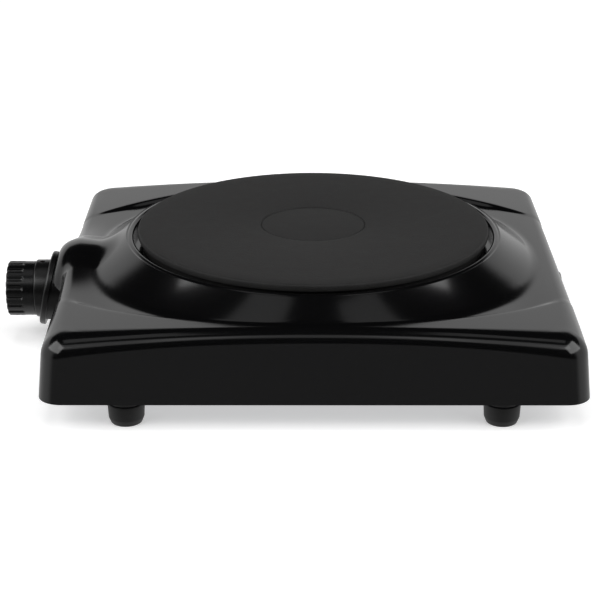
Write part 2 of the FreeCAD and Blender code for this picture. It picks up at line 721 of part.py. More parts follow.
def make_control():
    """The contact stack behind the bush: block, setting pin, leaf, contact, bimetal and rivet."""
    low = "leaf_root_z - 5"
    block = slab("18", "block_front", "block_back", low, "knob_height + 7")
    wide = cylinder("shaft_radius + 0.6", "5", y="block_front", z="knob_height", along="y")
    narrow = cylinder("pin_bore", "20", y="block_front", z="knob_height", along="y")
    rivet_hole = cylinder("rivet_radius", "40", y="block_front - 5", z=f"{low} + 2.5", along="y")
    node(cut(block, wide, narrow, rivet_hole), "control_block")
    pin = cylinder("pin_bore - running_clearance", "block_back - block_front - 4.1",
                   y="block_front + 4.1", z="knob_height", along="y")
    tip = cylinder("0.5", "leaf_y - control_gap - block_back", y="block_back", z="knob_height",
                   along="y")
    node(fuse(pin, tip), "setting_pin")
    node(slab("8", "leaf_y", "leaf_y + leaf_sheet", "leaf_root_z + 0.1", "knob_height + 12"),
         "contact_leaf")
    layers = {"leaf_root": ("leaf_y", "leaf_y + leaf_sheet", "leaf_root_z"),
              "fixed_contact": ("leaf_y + leaf_sheet + 3", "leaf_y + 2 * leaf_sheet + 3",
                                "knob_height + 12"),
              "bimetal_strip": ("leaf_y + 2 * leaf_sheet + 5", "leaf_y + 3 * leaf_sheet + 5.2",
                                "knob_height + 13")}
    tab_sides = {"leaf_root": -1, "fixed_contact": 1}
    for label, (start, end, top) in layers.items():
        leaf = stack_slice("8", start, end, low, top)
        if label in tab_sides:
            tab = slab("8", start, end, low, "leaf_root_z - 0.5", x=f"{tab_sides[label]} * 8")
            leaf = fuse(leaf, tab)
        node(leaf, label)
    spacers = [("block_back", "leaf_y"), ("leaf_y + leaf_sheet", "leaf_y + leaf_sheet + 3"),
               ("leaf_y + 2 * leaf_sheet + 3", "leaf_y + 2 * leaf_sheet + 5")]
    node(group(*[stack_slice("10", start, end, low, "leaf_root_z") for start, end in spacers]),
         "stack_spacers")
    back = "leaf_y + 3 * leaf_sheet + 5.2"
    node(fuse(cylinder("rivet_radius", f"{back} - block_front", y="block_front", z=f"{low} + 2.5",
                       along="y"),
              cylinder("2 * rivet_radius", "1", y=back, z=f"{low} + 2.5", along="y")),
         "stack_rivet")


def stack_slice(width, y_from, y_to, z_from, z_to):
    """One leaf or spacer of the contact stack, pierced for the rivet."""
    return cut(slab(width, y_from, y_to, z_from, z_to),
               cylinder("rivet_radius", "60", y="block_front - 10", z="leaf_root_z - 2.5",
                        along="y"))


def blade_foot():
    """The height of the free end of the cut-out's two blades."""
    return "(shield_z - 13)"


def cutout_screw_holes():
    """Two holes for the cut-out's screws, either side of its can."""
    return [cylinder("pilot_screw", "20", f"cutout_x + {side} * 11.5", "0", "shield_z - 10")
            for side in (-1, 1)]


def make_thermal_cutout():
    """A disc cut-out, screwed through the heat shield to the bridge."""
    can = cylinder("8", "9", "cutout_x", "0", "shield_z - 9")
    ears = box("29", "8", "1", "cutout_x", "0", "shield_z - 1")
    node(cut(fuse(can, ears), *cutout_screw_holes()), "thermal_cutout")
    blades = [slab("4", f"{side} * 4 - 0.4", f"{side} * 4 + 0.4", blade_foot(), "shield_z - 9",
                   x="cutout_x") for side in (-1, 1)]
    node(group(*blades), "cutout_blades")
    screws = []
    for side in (-1, 1):
        x = f"cutout_x + {side} * 11.5"
        shank = cylinder("pilot_screw", "bridge_z + 1 - shield_z", x, "0", "shield_z - 1")
        head = cylinder("2.6", "1.2", x, "0", "shield_z - 2.2")
        screws.append(fuse(shank, head))
    node(group(*screws), "cutout_screws")


# ---------------------------------------------------------------- feet, base fixings, supply

def make_feet():
    """Four rubber feet: cone, groove and flange, bored for a screw; each is its own node."""
    names = {(-1, -1): "foot_left_front", (1, -1): "foot_right_front",
             (-1, 1): "foot_left_rear", (1, 1): "foot_right_rear"}
    screws = []
    for (sx, sy), label in names.items():
        foot = turned("foot", [
            ("2.2 * screw_radius", "0"), ("foot_radius - 1.6", "0"), ("foot_radius - 0.6", "1"),
            ("foot_radius", "foot_cone"), ("foot_radius - 1", "foot_cone"),
            ("foot_radius - 1", "foot_cone + 0.6"), ("foot_radius", "foot_cone + 0.6"),
            ("foot_radius", "base_z"), ("screw_radius + fit_clearance", "base_z"),
            ("screw_radius + fit_clearance", "foot_bore"), ("2.2 * screw_radius", "foot_bore")])
        x = f"{sx} * foot_x"
        y = f"{sy} * foot_y"
        node(place(foot, x, y), label)
        head = cylinder("2 * screw_radius", "1.2 * screw_radius", x, y,
                        "foot_bore - 1.2 * screw_radius")
        shank = cylinder("screw_radius", "deck_z + 6 - foot_bore", x, y, "foot_bore")
        screws.append(fuse(head, shank))
    node(group(*screws), "foot_screws")


def make_corner_brackets():
    """Angles spot-welded inside the skirt; the feet's screws are driven into them."""
    def wall_at(z):
        return f"(body_width / 2 - ({z} - floor_gap) * tan(draft) - sheet / cos(draft) - 0.02)"
    top = "deck_z + 14"
    back = "(foot_x - foot_radius)"
    profile = [(back, "deck_z"), (f"{wall_at('(deck_z + base_rim)')} - 2.5", "deck_z"),
               (f"{wall_at('(deck_z + base_rim)')} - 2.5", "deck_z + base_rim"),
               (wall_at("(deck_z + base_rim)"), "deck_z + base_rim"), (wall_at(f"({top})"), top),
               (f"{wall_at(f'({top})')} - bracket_tab", top),
               (f"{wall_at('(deck_z + base_rim)')} - 2.5 - bracket_tab", "deck_z + base_rim"),
               (f"{wall_at('(deck_z + base_rim)')} - 2.5 - bracket_tab", "deck_z + bracket_tab"),
               (back, "deck_z + bracket_tab")]
    brackets = []
    for sx in (-1, 1):
        for sy in (-1, 1):
            angle = pressed("angle", "XZ_Plane", [(f"{sx} * ({x})", z) for x, z in profile],
                            "2 * foot_radius", midplane=True)
            place(angle, y=f"{sy} * foot_y")
            brackets.append(cut(angle, cylinder("screw_radius", "20", f"{sx} * foot_x",
                                                f"{sy} * foot_y", "deck_z - 5")))
    node(group(*brackets), "corner_brackets")


def make_supply():
    """The cord gland, the mains terminal block with its clamps and the earth screw."""
    wall_lean = "-90 + draft"
    outer = leaning_disc("gland_flange", "gland_lip", "rear_wall", "gland_height", wall_lean)
    inner = leaning_disc("gland_flange", "gland_lip", "rear_wall - sheet - gland_lip - 0.05",
                         "gland_height", wall_lean)
    neck = cylinder("gland_radius", "gland_lip + 4", y="rear_wall - gland_lip - 1",
                    z="gland_height", along="y")
    bore = cylinder("cord_radius + fit_clearance", "40", y="rear_wall - 20", z="gland_height",
                    along="y")
    node(cut(fuse(outer, inner, neck), bore), "cord_gland")
    block = box("34", "16", "14", "0", "terminal_y", "deck_z")
    ways = [cylinder("1.8", "30", f"{way} * 11", "terminal_y - 15", "deck_z + 6", "y")
            for way in (-1, 0, 1)]
    well = cylinder("2 * pilot_screw + 0.2", "20", "0", "terminal_y", "deck_z + 10")
    hole = cylinder("pilot_screw", "30", "0", "terminal_y", "deck_z - 5")
    node(cut(block, well, hole, *ways[::2]), "mains_terminal_block")
    sleeves = [cut(cylinder("1.8", "14", f"{way} * 11", "terminal_y - 7", "deck_z + 6", "y"),
                   cylinder("lead_radius", "30", f"{way} * 11", "terminal_y - 15", "deck_z + 6",
                            "y")) for way in (-1, 1)]
    node(group(*sleeves), "terminal_sleeves")
    node(screw("pilot_screw", "0", "terminal_y", "deck_z + 10", "base_z - 3"), "block_screw")
    node(screw("screw_radius", "earth_x", "earth_y", "deck_z + 1", "base_z - 3"), "earth_screw")
    tag = fuse(cylinder("2 * screw_radius", "1", "earth_x", "earth_y", "deck_z"),
               slab("5", "earth_y", "earth_y + 12", "deck_z", "deck_z + 1", x="earth_x"))
    node(cut(tag, cylinder("screw_radius", "10", "earth_x", "earth_y", "deck_z - 5")), "earth_tag")


def lead(label, radius, points):
    """An insulated lead: straight runs joined by tangent arcs, as large as the runs allow."""
    spots = [Vector(*[measure(text) for text in point]) for point in points]
    edges = []
    start = spots[0]
    for before, corner, after in zip(spots, spots[1:], spots[2:]):
        to_back = (before - corner).normalize()
        to_front = (after - corner).normalize()
        reach = 0.45 * min((before - corner).Length, (after - corner).Length)
        turn = math.pi - to_back.getAngle(to_front)
        bend = reach / math.tan(turn / 2)
        enter = corner + to_back * reach
        leave = corner + to_front * reach
        middle_way = (to_back + to_front).normalize()
        middle = corner + middle_way * (bend / math.cos(turn / 2) - bend)
        edges.append(Part.LineSegment(start, enter).toShape())
        edges.append(Part.Arc(enter, middle, leave).toShape())
        start = leave
    edges.append(Part.LineSegment(start, spots[-1]).toShape())
    path = Part.Wire(edges)
    first = Part.Circle(spots[0], spots[1] - spots[0], measure(radius)).toShape()
    tube = path.makePipeShell([Part.Wire([first])], True, False)
    shaped_node(tube, label)


def make_leads():
    """The internal wiring, from the terminal block to the control, cut-out, heater and earth."""
    way = "(deck_z + 6)"
    tab_z = "(leaf_root_z - 3)"
    low = "(deck_z + 3)"
    lead("lead_line", "lead_radius", [
        ("-11", "terminal_y + 6", way), ("-11", "terminal_y - 22", way),
        ("-46", "terminal_y - 44", way), ("-58", "0", way), ("-48", "-50", way),
        ("-24", "leaf_y + 24", way), ("4", "leaf_y + 24", way), ("9.5", "leaf_y + 14", tab_z),
        ("9.5", "leaf_y + 2 * leaf_sheet + 3", tab_z)])
    lead("lead_neutral", "lead_radius", [
        ("11", "terminal_y + 6", way), ("11", "terminal_y - 20", way),
        ("32", "terminal_y - 42", way), ("cutout_x + 4", "28", low), ("cutout_x", "4", low),
        ("cutout_x", "4", blade_foot())])
    lead("lead_heater", "lead_radius", [
        ("cutout_x", "-4", blade_foot()), ("cutout_x", "-4", low), ("cutout_x - 4", "-34", low),
        ("pin_x + 10", "link_end - 2", way), ("pin_x", "link_end + 3", way),
        ("pin_x", "link_end + 3", "block_z - link_sheet")])
    lead("lead_switched", "lead_radius", [
        ("-9.5", "leaf_y + leaf_sheet", tab_z), ("-9.5", "leaf_y + 9", tab_z),
        ("-pin_x", "link_end + 3", way), ("-pin_x", "link_end + 3", "block_z - link_sheet")])


def main():
    fill_sheet()
    make_housing()
    make_base_plate()
    make_hotplate()
    make_heater()
    make_plate_fixing()
    make_knob()
    make_shaft()
    make_bezel()
    make_bracket()
    make_bush()
    make_control()
    make_thermal_cutout()
    make_feet()
    make_corner_brackets()
    make_supply()
    make_leads()
    document.recompute()
    for thing in document.Objects:
        if "Invalid" in thing.State or "Error" in thing.State:
            raise RuntimeError(f"{thing.Name} ({thing.Label}) is {thing.State}")
    for thing in NODES:
        shape = thing.Shape
        if shape.isNull() or not shape.isValid() or not shape.Solids:
            raise RuntimeError(f"{thing.Label} has no sound solid")
    os.makedirs("parts", exist_ok=True)
    for thing in NODES:
        thing.Shape.exportStep(f"parts/{thing.Label}.step")


main()
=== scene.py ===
"""Looks of a single electric hot plate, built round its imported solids.

Every surface is worked out in millimetres about the upright axis of the plate, and is put into
the frame in metres.  X runs across the appliance, the knob faces -Y and +Z is up.
"""
import json
import logging
import math
from dataclasses import dataclass, field
from enum import Enum

import bmesh
import bpy
import numpy as np
from mathutils import Matrix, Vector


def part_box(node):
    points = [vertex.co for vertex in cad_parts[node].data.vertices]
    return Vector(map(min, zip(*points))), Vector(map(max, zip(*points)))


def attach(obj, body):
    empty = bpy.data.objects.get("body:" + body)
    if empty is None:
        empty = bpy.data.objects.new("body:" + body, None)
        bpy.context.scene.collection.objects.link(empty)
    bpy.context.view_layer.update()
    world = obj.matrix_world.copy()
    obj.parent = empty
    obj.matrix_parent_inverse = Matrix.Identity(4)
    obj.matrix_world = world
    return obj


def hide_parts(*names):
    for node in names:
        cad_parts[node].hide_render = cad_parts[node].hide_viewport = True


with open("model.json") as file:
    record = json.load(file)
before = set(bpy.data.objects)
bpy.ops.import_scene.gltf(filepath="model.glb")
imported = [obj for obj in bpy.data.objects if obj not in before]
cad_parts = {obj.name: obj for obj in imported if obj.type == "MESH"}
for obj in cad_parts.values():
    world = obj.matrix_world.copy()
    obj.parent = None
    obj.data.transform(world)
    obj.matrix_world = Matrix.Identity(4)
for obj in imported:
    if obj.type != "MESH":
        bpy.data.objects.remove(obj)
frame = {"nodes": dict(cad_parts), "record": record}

LOG = logging.getLogger("hot_plate")
MM = 0.001
TURN = 2 * math.pi
Array = np.ndarray
Colour = tuple[float, float, float]


class Slot(Enum):
    """The finishes of the appliance, by the names that its record gives them."""

    ENAMEL = "enamel"
    IRON = "iron"
    RUBBER = "rubber"
    KNOB = "knob_plastic"
    BEZEL = "bezel_plastic"
    LENS = "lens_plastic"
    GALVANISED = "galvanised"
    ZINC = "zinc"
    BRASS = "brass"
    STEATITE = "steatite"
    CEMENT = "cement"
    HEATER = "heater_tube"
    SPRING = "spring_steel"
    LAMP = "lamp_glass"
    SLEEVE = "sleeve"


class Body(Enum):
    """The bodies of the frame that new pieces ride on."""

    APPLIANCE = "appliance"
    CONTROL = "control"


# ------------------------------------------------------------------ finishes

@dataclass(frozen=True)
class Finish:
    """A finish whose colour, gloss and grain wander over the surface.

    Lengths are in metres: patch is the size of a cloud of colour, grain the size of one bump and
    relief its height.  stretch draws the grain out along the axes, as brushing or weaving does.
    """

    colour: Colour
    rough: float
    metal: float = 0.0
    ior: float = 1.5
    clear: float = 0.0
    tint: float = 0.12
    rough_wander: float = 0.04
    patch: float = 0.02
    grain: float = 0.001
    relief: float = 0.0
    stretch: Colour = (1.0, 1.0, 1.0)

    def material(self, name: str) -> bpy.types.Material:
        """Make the node material.

        Args:
            name: What the material is called.

        Returns:
            The finished material.
        """
        made = bpy.data.materials.new(name)
        made.use_nodes = True
        tree = made.node_tree
        shader = tree.nodes["Principled BSDF"]
        shader.inputs["Metallic"].default_value = self.metal
        shader.inputs["IOR"].default_value = self.ior
        shader.inputs["Transmission Weight"].default_value = self.clear
        place = tree.nodes.new("ShaderNodeTexCoord").outputs["Object"]
        clouds = self.noise(tree, place, 1 / self.patch, 4.0)
        dark = tuple(part * (1 - self.tint) for part in self.colour)
        light = tuple(min(1.0, part * (1 + self.tint)) for part in self.colour)
        blend = tree.nodes.new("ShaderNodeMix")
        blend.data_type = "RGBA"
        blend.inputs["A"].default_value = (*dark, 1.0)
        blend.inputs["B"].default_value = (*light, 1.0)
        tree.links.new(clouds, blend.inputs["Factor"])
        tree.links.new(blend.outputs["Result"], shader.inputs["Base Color"])
        gloss = tree.nodes.new("ShaderNodeMapRange")
        gloss.inputs["To Min"].default_value = max(0.0, self.rough - self.rough_wander)
        gloss.inputs["To Max"].default_value = min(1.0, self.rough + self.rough_wander)
        tree.links.new(clouds, gloss.inputs["Value"])
        tree.links.new(gloss.outputs["Result"], shader.inputs["Roughness"])
        if self.relief > 0:
            mapping = tree.nodes.new("ShaderNodeMapping")
            mapping.inputs["Scale"].default_value = self.stretch
            tree.links.new(place, mapping.inputs["Vector"])
            grains = self.noise(tree, mapping.outputs["Vector"], 1 / self.grain, 3.0)
            bump = tree.nodes.new("ShaderNodeBump")
            bump.inputs["Distance"].default_value = self.relief
            tree.links.new(grains, bump.inputs["Height"])
            tree.links.new(bump.outputs["Normal"], shader.inputs["Normal"])
        return made

    @staticmethod
    def noise(tree: bpy.types.NodeTree, place: bpy.types.NodeSocket, scale: float,
              detail: float) -> bpy.types.NodeSocket:
        """Add a noise texture.

        Args:
            tree: The material's nodes.
            place: Where the pattern is read.
            scale: Features to the metre.
            detail: How many finer layers it has.

        Returns:
            The socket that carries the noise.
        """
        texture = tree.nodes.new("ShaderNodeTexNoise")
        texture.inputs["Scale"].default_value = scale
        texture.inputs["Detail"].default_value = detail
        tree.links.new(place, texture.inputs["Vector"])
        return texture.outputs["Fac"]


FINISHES: dict[Slot, Finish] = {
    Slot.ENAMEL: Finish((0.0022, 0.0022, 0.0024), 0.13, rough_wander=0.015, patch=0.05,
                        grain=0.004, relief=0.000004),
    Slot.IRON: Finish((0.0145, 0.0142, 0.014), 0.66, ior=1.34, tint=0.35, rough_wander=0.08,
                      patch=0.008, grain=0.0008, relief=0.00014),
    Slot.RUBBER: Finish((0.006, 0.006, 0.006), 0.55, rough_wander=0.06, grain=0.0006,
                        relief=0.00002),
    Slot.KNOB: Finish((0.0025, 0.0025, 0.0027), 0.24, rough_wander=0.04, grain=0.0003,
                      relief=0.000008),
    Slot.BEZEL: Finish((0.003, 0.003, 0.003), 0.3, rough_wander=0.04, grain=0.0003,
                       relief=0.00001),
    Slot.LENS: Finish((0.006, 0.004, 0.004), 0.06, rough_wander=0.02, patch=0.004),
    Slot.GALVANISED: Finish((0.5, 0.51, 0.53), 0.42, metal=1.0, tint=0.14, rough_wander=0.12,
                            patch=0.006, grain=0.003, relief=0.00002),
    Slot.ZINC: Finish((0.6, 0.6, 0.58), 0.32, metal=1.0, tint=0.1, rough_wander=0.08,
                      patch=0.003, grain=0.0006, relief=0.00001),
    Slot.BRASS: Finish((0.7, 0.5, 0.22), 0.28, metal=1.0, tint=0.12, rough_wander=0.08,
                       patch=0.004, grain=0.0005, relief=0.00001),
    Slot.STEATITE: Finish((0.8, 0.76, 0.68), 0.6, tint=0.06, rough_wander=0.06, patch=0.005,
                          grain=0.0006, relief=0.00003),
    Slot.CEMENT: Finish((0.45, 0.43, 0.4), 0.9, tint=0.18, rough_wander=0.05, patch=0.004,
                        grain=0.001, relief=0.0002),
    Slot.HEATER: Finish((0.2, 0.17, 0.15), 0.5, metal=0.8, tint=0.3, rough_wander=0.12,
                        patch=0.008, grain=0.001, relief=0.00002),
    Slot.SPRING: Finish((0.55, 0.54, 0.52), 0.25, metal=1.0, tint=0.08, rough_wander=0.06,
                        patch=0.004, grain=0.0004, relief=0.000006, stretch=(1.0, 0.1, 1.0)),
    Slot.LAMP: Finish((0.95, 0.6, 0.4), 0.05, clear=0.9, tint=0.03, rough_wander=0.02,
                      patch=0.004),
    Slot.SLEEVE: Finish((0.78, 0.76, 0.7), 0.8, tint=0.12, rough_wander=0.06, patch=0.002,
                        grain=0.0007, relief=0.0002, stretch=(1.0, 1.0, 2.0)),
}


@dataclass
class FinishShop:
    """Keeps one material for each finish and puts it on pieces and on the frame's nodes."""

    made: dict[Slot, bpy.types.Material] = field(default_factory=dict)

    def material(self, slot: Slot) -> bpy.types.Material:
        """Give the material of a finish, made the first time that it is asked for."""
        if slot not in self.made:
            self.made[slot] = FINISHES[slot].material(slot.value)
        return self.made[slot]

    def dress_nodes(self) -> None:
        """Put the finish that the record names on every node of the frame."""
        for part in frame["record"]["subparts"]:
            thing = frame["nodes"][part["node"]]
            thing.data.materials.clear()
            thing.data.materials.append(self.material(Slot(part["material_slot"])))


# ------------------------------------------------------------------ surfaces

@dataclass
class Surface:
    """A grid of points, rows by columns, that may close on itself either way round."""

    points: Array
    rows_close: bool = False
    columns_close: bool = True

    def faces(self, first: int = 0) -> Array:
        """Four-cornered faces between neighbouring grid points.

        Args:
            first: The number of the grid's first point in the mesh.

        Returns:
            One row of four point numbers for each face.
        """
        rows, columns = self.points.shape[:2]
        number = np.arange(rows * columns).reshape(rows, columns) + first
        below = np.roll(number, -1, axis=0)
        beside = np.roll(number, -1, axis=1)
        across = np.roll(below, -1, axis=1)
        quads = np.stack([number, beside, across, below], axis=-1)
        if not self.rows_close:
            quads = quads[:-1]
        if not self.columns_close:
            quads = quads[:, :-1]
        return quads.reshape(-1, 4)


def smooth_min(first: Array, second: Array, blend: float) -> Array:
    """The lower of two fields, with their meeting rounded.

    Where they differ by less than blend, the square of what is left of it, over four blends,
    is taken off.
    """
    near = np.maximum(blend - np.abs(first - second), 0.0)
    return np.minimum(first, second) - near * near / (4 * blend)


def smooth_max(first: Array, second: Array, blend: float) -> Array:
    """The higher of two fields, with their meeting rounded, as smooth_min does it."""
    return -smooth_min(-first, -second, blend)


def smooth_step(value: Array) -> Array:
    """Nothing below 0, one above 1, and three squares less two cubes between."""
    part = np.clip(value, 0.0, 1.0)
    return part * part * (3 - 2 * part)


def rounded_profile(corners: list[tuple[float, float, float]], closed: bool = True,
                    steps: int = 6) -> Array:
    """A flat outline with its corners rounded.

    Each corner is cut back along both sides by its radius times the tangent of half the turn,
    and an arc of that radius joins the two places.

    Args:
        corners: Distance from the axis, height and radius of each corner.
        closed: Whether the last corner joins the first.
        steps: Points on each arc.

    Returns:
        The outline, one row of two numbers for each point.
    """
    spots = np.array([corner[:2] for corner in corners], float)
    pieces = []
    last = len(corners) - 1
    for index, (_, _, radius) in enumerate(corners):
        here = spots[index]
        if radius == 0 or (not closed and index in (0, last)):
            pieces.append(here[None, :])
            continue
        back = spots[index - 1] - here
        ahead = spots[(index + 1) % len(corners)] - here
        back = back / np.linalg.norm(back)
        ahead = ahead / np.linalg.norm(ahead)
        half = math.acos(float(np.clip(back @ ahead, -1, 1))) / 2
        middle = (back + ahead) / np.linalg.norm(back + ahead)
        centre = here + middle * radius / math.sin(half)
        sweep = np.linspace(-1, 1, steps) * (math.pi / 2 - half)
        side = np.array([-middle[1], middle[0]])
        side = side if side @ ahead > 0 else -side
        arc = -np.cos(sweep)[:, None] * middle + np.sin(sweep)[:, None] * side
        pieces.append(centre + radius * arc)
    return np.concatenate(pieces)


def lathe(profile: Array, columns: int, closed: bool = True) -> Surface:
    """Turn a profile about the upright axis.

    A point is (distance times cosine, distance times sine, height) of each angle.

    Args:
        profile: Distance from the axis and height of each point.
        columns: Steps round the axis.
        closed: Whether the last point of the profile joins the first.

    Returns:
        The turned surface.
    """
    angle = np.arange(columns) * TURN / columns
    points = np.empty((len(profile), columns, 3))
    points[..., 0] = profile[:, 0, None] * np.cos(angle)
    points[..., 1] = profile[:, 0, None] * np.sin(angle)
    points[..., 2] = profile[:, 1, None]
    return Surface(points, rows_close=closed)


def laid(surface: Surface, lean: float, foot: tuple[float, float, float]) -> Surface:
    """Lay a turned surface down so that its axis points along -Y, leaning up by an angle.

    Args:
        surface: A surface turned about the upright axis.
        lean: How far above level the axis ends up, in degrees.
        foot: Where the origin of the turned surface goes.

    Returns:
        The surface in its place.
    """
    turn = np.array(Matrix.Rotation(math.radians(90 - lean), 3, "X"))
    moved = surface.points @ turn.T + np.array(foot)
    return Surface(moved, surface.rows_close, surface.columns_close)


@dataclass
class Bench:
    """Puts surfaces into the frame as finished pieces."""

    shop: FinishShop
    plate_y: float
    corner_angle: float = math.radians(38)
    weld: float = 1e-7

    def piece(self, name: str, surfaces: list[Surface], slot: Slot, body: Body,
              nodes: tuple[str, ...]) -> bpy.types.Object:
        """Make one piece out of surfaces, in metres, in its place.

        Args:
            name: What the piece is called.
            surfaces: Its closed surfaces, in millimetres about the axis of the plate.
            slot: Its finish.
            body: What it moves with.
            nodes: The nodes of the frame that it stands for.

        Returns:
            The piece.
        """
        mesh = self.mesh(name, surfaces)
        made = bpy.data.objects.new(name, mesh)
        bpy.context.scene.collection.objects.link(made)
        self.finish(made, slot, body, nodes)
        return made

    def mesh(self, name: str, surfaces: list[Surface]) -> bpy.types.Mesh:
        """Fill a mesh from grids, merge its doubles and point its faces outwards."""
        sizes = [surface.points.shape[0] * surface.points.shape[1] for surface in surfaces]
        starts = np.concatenate([[0], np.cumsum(sizes)])[:-1]
        points = np.concatenate([surface.points.reshape(-1, 3) for surface in surfaces])
        points = (points + np.array([0.0, self.plate_y, 0.0])) * MM
        faces = np.concatenate([surface.faces(int(start))
                                for surface, start in zip(surfaces, starts)])
        mesh = bpy.data.meshes.new(name)
        mesh.vertices.add(len(points))
        mesh.vertices.foreach_set("co", points.ravel())
        mesh.loops.add(faces.size)
        mesh.loops.foreach_set("vertex_index", faces.ravel())
        mesh.polygons.add(len(faces))
        mesh.polygons.foreach_set("loop_start", np.arange(0, faces.size, 4))
        mesh.update(calc_edges=True)
        shell = bmesh.new()
        shell.from_mesh(mesh)
        bmesh.ops.remove_doubles(shell, verts=shell.verts, dist=self.weld)
        bmesh.ops.recalc_face_normals(shell, faces=shell.faces)
        shell.to_mesh(mesh)
        shell.free()
        mesh.validate()
        return mesh

    def finish(self, made: bpy.types.Object, slot: Slot, body: Body,
               nodes: tuple[str, ...]) -> None:
        """Give a piece its finish and body, and hide the nodes that it stands for."""
        mesh = made.data
        mesh.polygons.foreach_set("use_smooth", np.ones(len(mesh.polygons), bool))
        mesh.set_sharp_from_angle(angle=self.corner_angle)
        mesh.materials.clear()
        mesh.materials.append(self.shop.material(slot))
        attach(made, body.value)
        if nodes:
            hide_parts(*nodes)
        LOG.info("%s: %d faces", made.name, len(mesh.polygons))


# ------------------------------------------------------------------ housing

@dataclass
class Housing:
    """The pressed top housing: one sheet with a ring, a hood and two raised wings."""

    bench: Bench
    half_width: float = 123.0
    half_length: float = 131.5
    floor_gap: float = 14.0
    sheet: float = 1.0
    draft: float = math.radians(4.9)
    corner: float = 12.0
    edge: float = 6.5
    edge_swell: float = 4.0
    edge_slack: float = 1.5
    crown: float = 1500.0
    wing_top: float = 50.4
    wing_step: float = 2.3
    wing_inset: float = 0.3
    step_half: float = 1.9
    shoulder: float = 4.5
    shoulder_share: float = 0.12
    fade_from: float = 96.0
    fade_to: float = 124.0
    fade_left: float = 0.06
    arc_radius: float = 194.0
    arc_centre: float = 84.5
    opening: float = 94.0
    ledge: float = 86.5
    rim_z: float = 54.0
    lip_z: float = 59.5
    lip_round: float = 1.9
    lip_sweep: float = math.radians(43.6)
    cone_slope: float = 1.05
    flare_slope: float = 0.7
    flare_reach: float = 113.5
    flare_z: float = 47.3
    ring_clear: float = 9.5
    ring_blend: float = 3.0
    foot_blend: float = 1.8
    hood_radius: float = 26.5
    hood_axis: float = 24.2
    hump_top: float = 50.6
    hump_spread: float = 22.0
    hump_from: float = 98.0
    hump_to: float = 128.0
    hood_foot: float = 35.5
    hood_back: float = 108.0
    mouth: float = 138.7
    knob_axis: float = 26.5
    lean: float = math.radians(11.7)
    hood_edge: float = 7.0
    hood_blend: float = 8.0
    arch: float = 19.0
    arch_depth: float = 121.2
    gland_height: float = 27.5
    gland_hole: float = 7.1
    core_inset: float = 6.5
    core_z: float = 40.0
    start_z: float = 33.0
    probe_z: float = 30.0
    longest_line: float = 60.0
    cone_foot: float = 104.0
    step_rows: float = 1.15
    shoulder_clear: float = 0.4
    crease_clear: float = 1.2
    ring_edge: float = 3.0
    hood_soft: float = 2.0
    veer: float = math.radians(42)
    veer_spread: float = 0.19
    fan_low: float = -50.0
    lip_depth: float = 2.2
    arch_foot: float = -5.0
    close_at_wing: tuple[float, float] = (0.022, 9.0)
    close_at_corner: tuple[float, float] = (0.07, 3.5)
    close_at_hood: tuple[float, float] = (0.2, 3.0)

    def wall(self, x: Array, y: Array, z: Array, wing: Array) -> Array:
        """How far a point is outside the leaning skirt, a rounded rectangle at each height."""
        sink = (z - self.floor_gap) * math.tan(self.draft)
        length = self.half_length - self.wing_inset * (1 - wing)
        over_x = np.abs(x) - (self.half_width - sink) + self.corner
        over_y = np.abs(y) - (length - sink) + self.corner
        outside = np.hypot(np.maximum(over_x, 0), np.maximum(over_y, 0))
        inside = np.minimum(np.maximum(over_x, over_y), 0)
        return (outside + inside - self.corner) * math.cos(self.draft)

    def wing(self, x: Array, y: Array) -> Array:
        """How much of the wing's step is there, from nothing to one.

        It climbs steeply across either of two large arcs, then over a shoulder that falls off as
        a square, and it fades towards the side walls.
        """
        past = np.maximum(np.hypot(x - self.arc_centre, y), np.hypot(x + self.arc_centre, y))
        past = past - self.arc_radius
        climb = smooth_step((past + self.step_half) / (2 * self.step_half))
        left = np.clip((self.shoulder - past) / self.shoulder, 0, 1)
        return climb * (1 - self.shoulder_share * left * left)

    def block(self, x: Array, y: Array, z: Array) -> Array:
        """How far a point is outside the block with wings.

        The lid is bowed by the square of y over two crowns and steps up on the wings.  It is
        drawn up to a level crest over the knob by a bell curve across x.  Wall and lid meet in
        an arc that grows towards the corners on the +X side.
        """
        wing = self.wing(x, y)
        wall = self.wall(x, y, z, wing)
        fade = smooth_step((np.abs(y) - self.fade_from) / (self.fade_to - self.fade_from))
        step = self.wing_step * (1 - (1 - self.fade_left) * fade)
        top = self.wing_top - step * (1 - wing) - y * y / (2 * self.crown)
        reach = smooth_step((-y - self.hump_from) / (self.hump_to - self.hump_from))
        hump = np.exp(-x * x / (2 * self.hump_spread ** 2)) * reach
        lid = z - (top + (self.hump_top - top) * hump)
        share = np.minimum(np.abs(x) / self.half_width, np.abs(y) / self.half_length)
        near = smooth_step(0.5 + x / self.half_width)
        edge = self.edge - self.edge_slack * (1 - near)
        edge = edge + self.edge_swell * np.clip(share, 0, 1) ** 3 * near
        rounding = np.hypot(np.maximum(wall + edge, 0), np.maximum(lid + edge, 0))
        return rounding + np.minimum(np.maximum(wall + edge, lid + edge), 0) - edge

    def ring(self, x: Array, y: Array, z: Array) -> Array:
        """How far a point is outside the ring: a steep cone that flares into a flatter one."""
        reach = np.hypot(x, y)
        lip = self.lip_end()
        cone = z - lip[1] + self.cone_slope * (reach - lip[0])
        flare = z - self.flare_z + self.flare_slope * (reach - self.flare_reach)
        both = smooth_min(cone * math.cos(math.atan(self.cone_slope)),
                          flare * math.cos(math.atan(self.flare_slope)), self.ring_blend)
        inside = self.wall(x, y, z, np.zeros_like(x)) + self.ring_clear
        return smooth_max(both, inside, self.ring_edge)

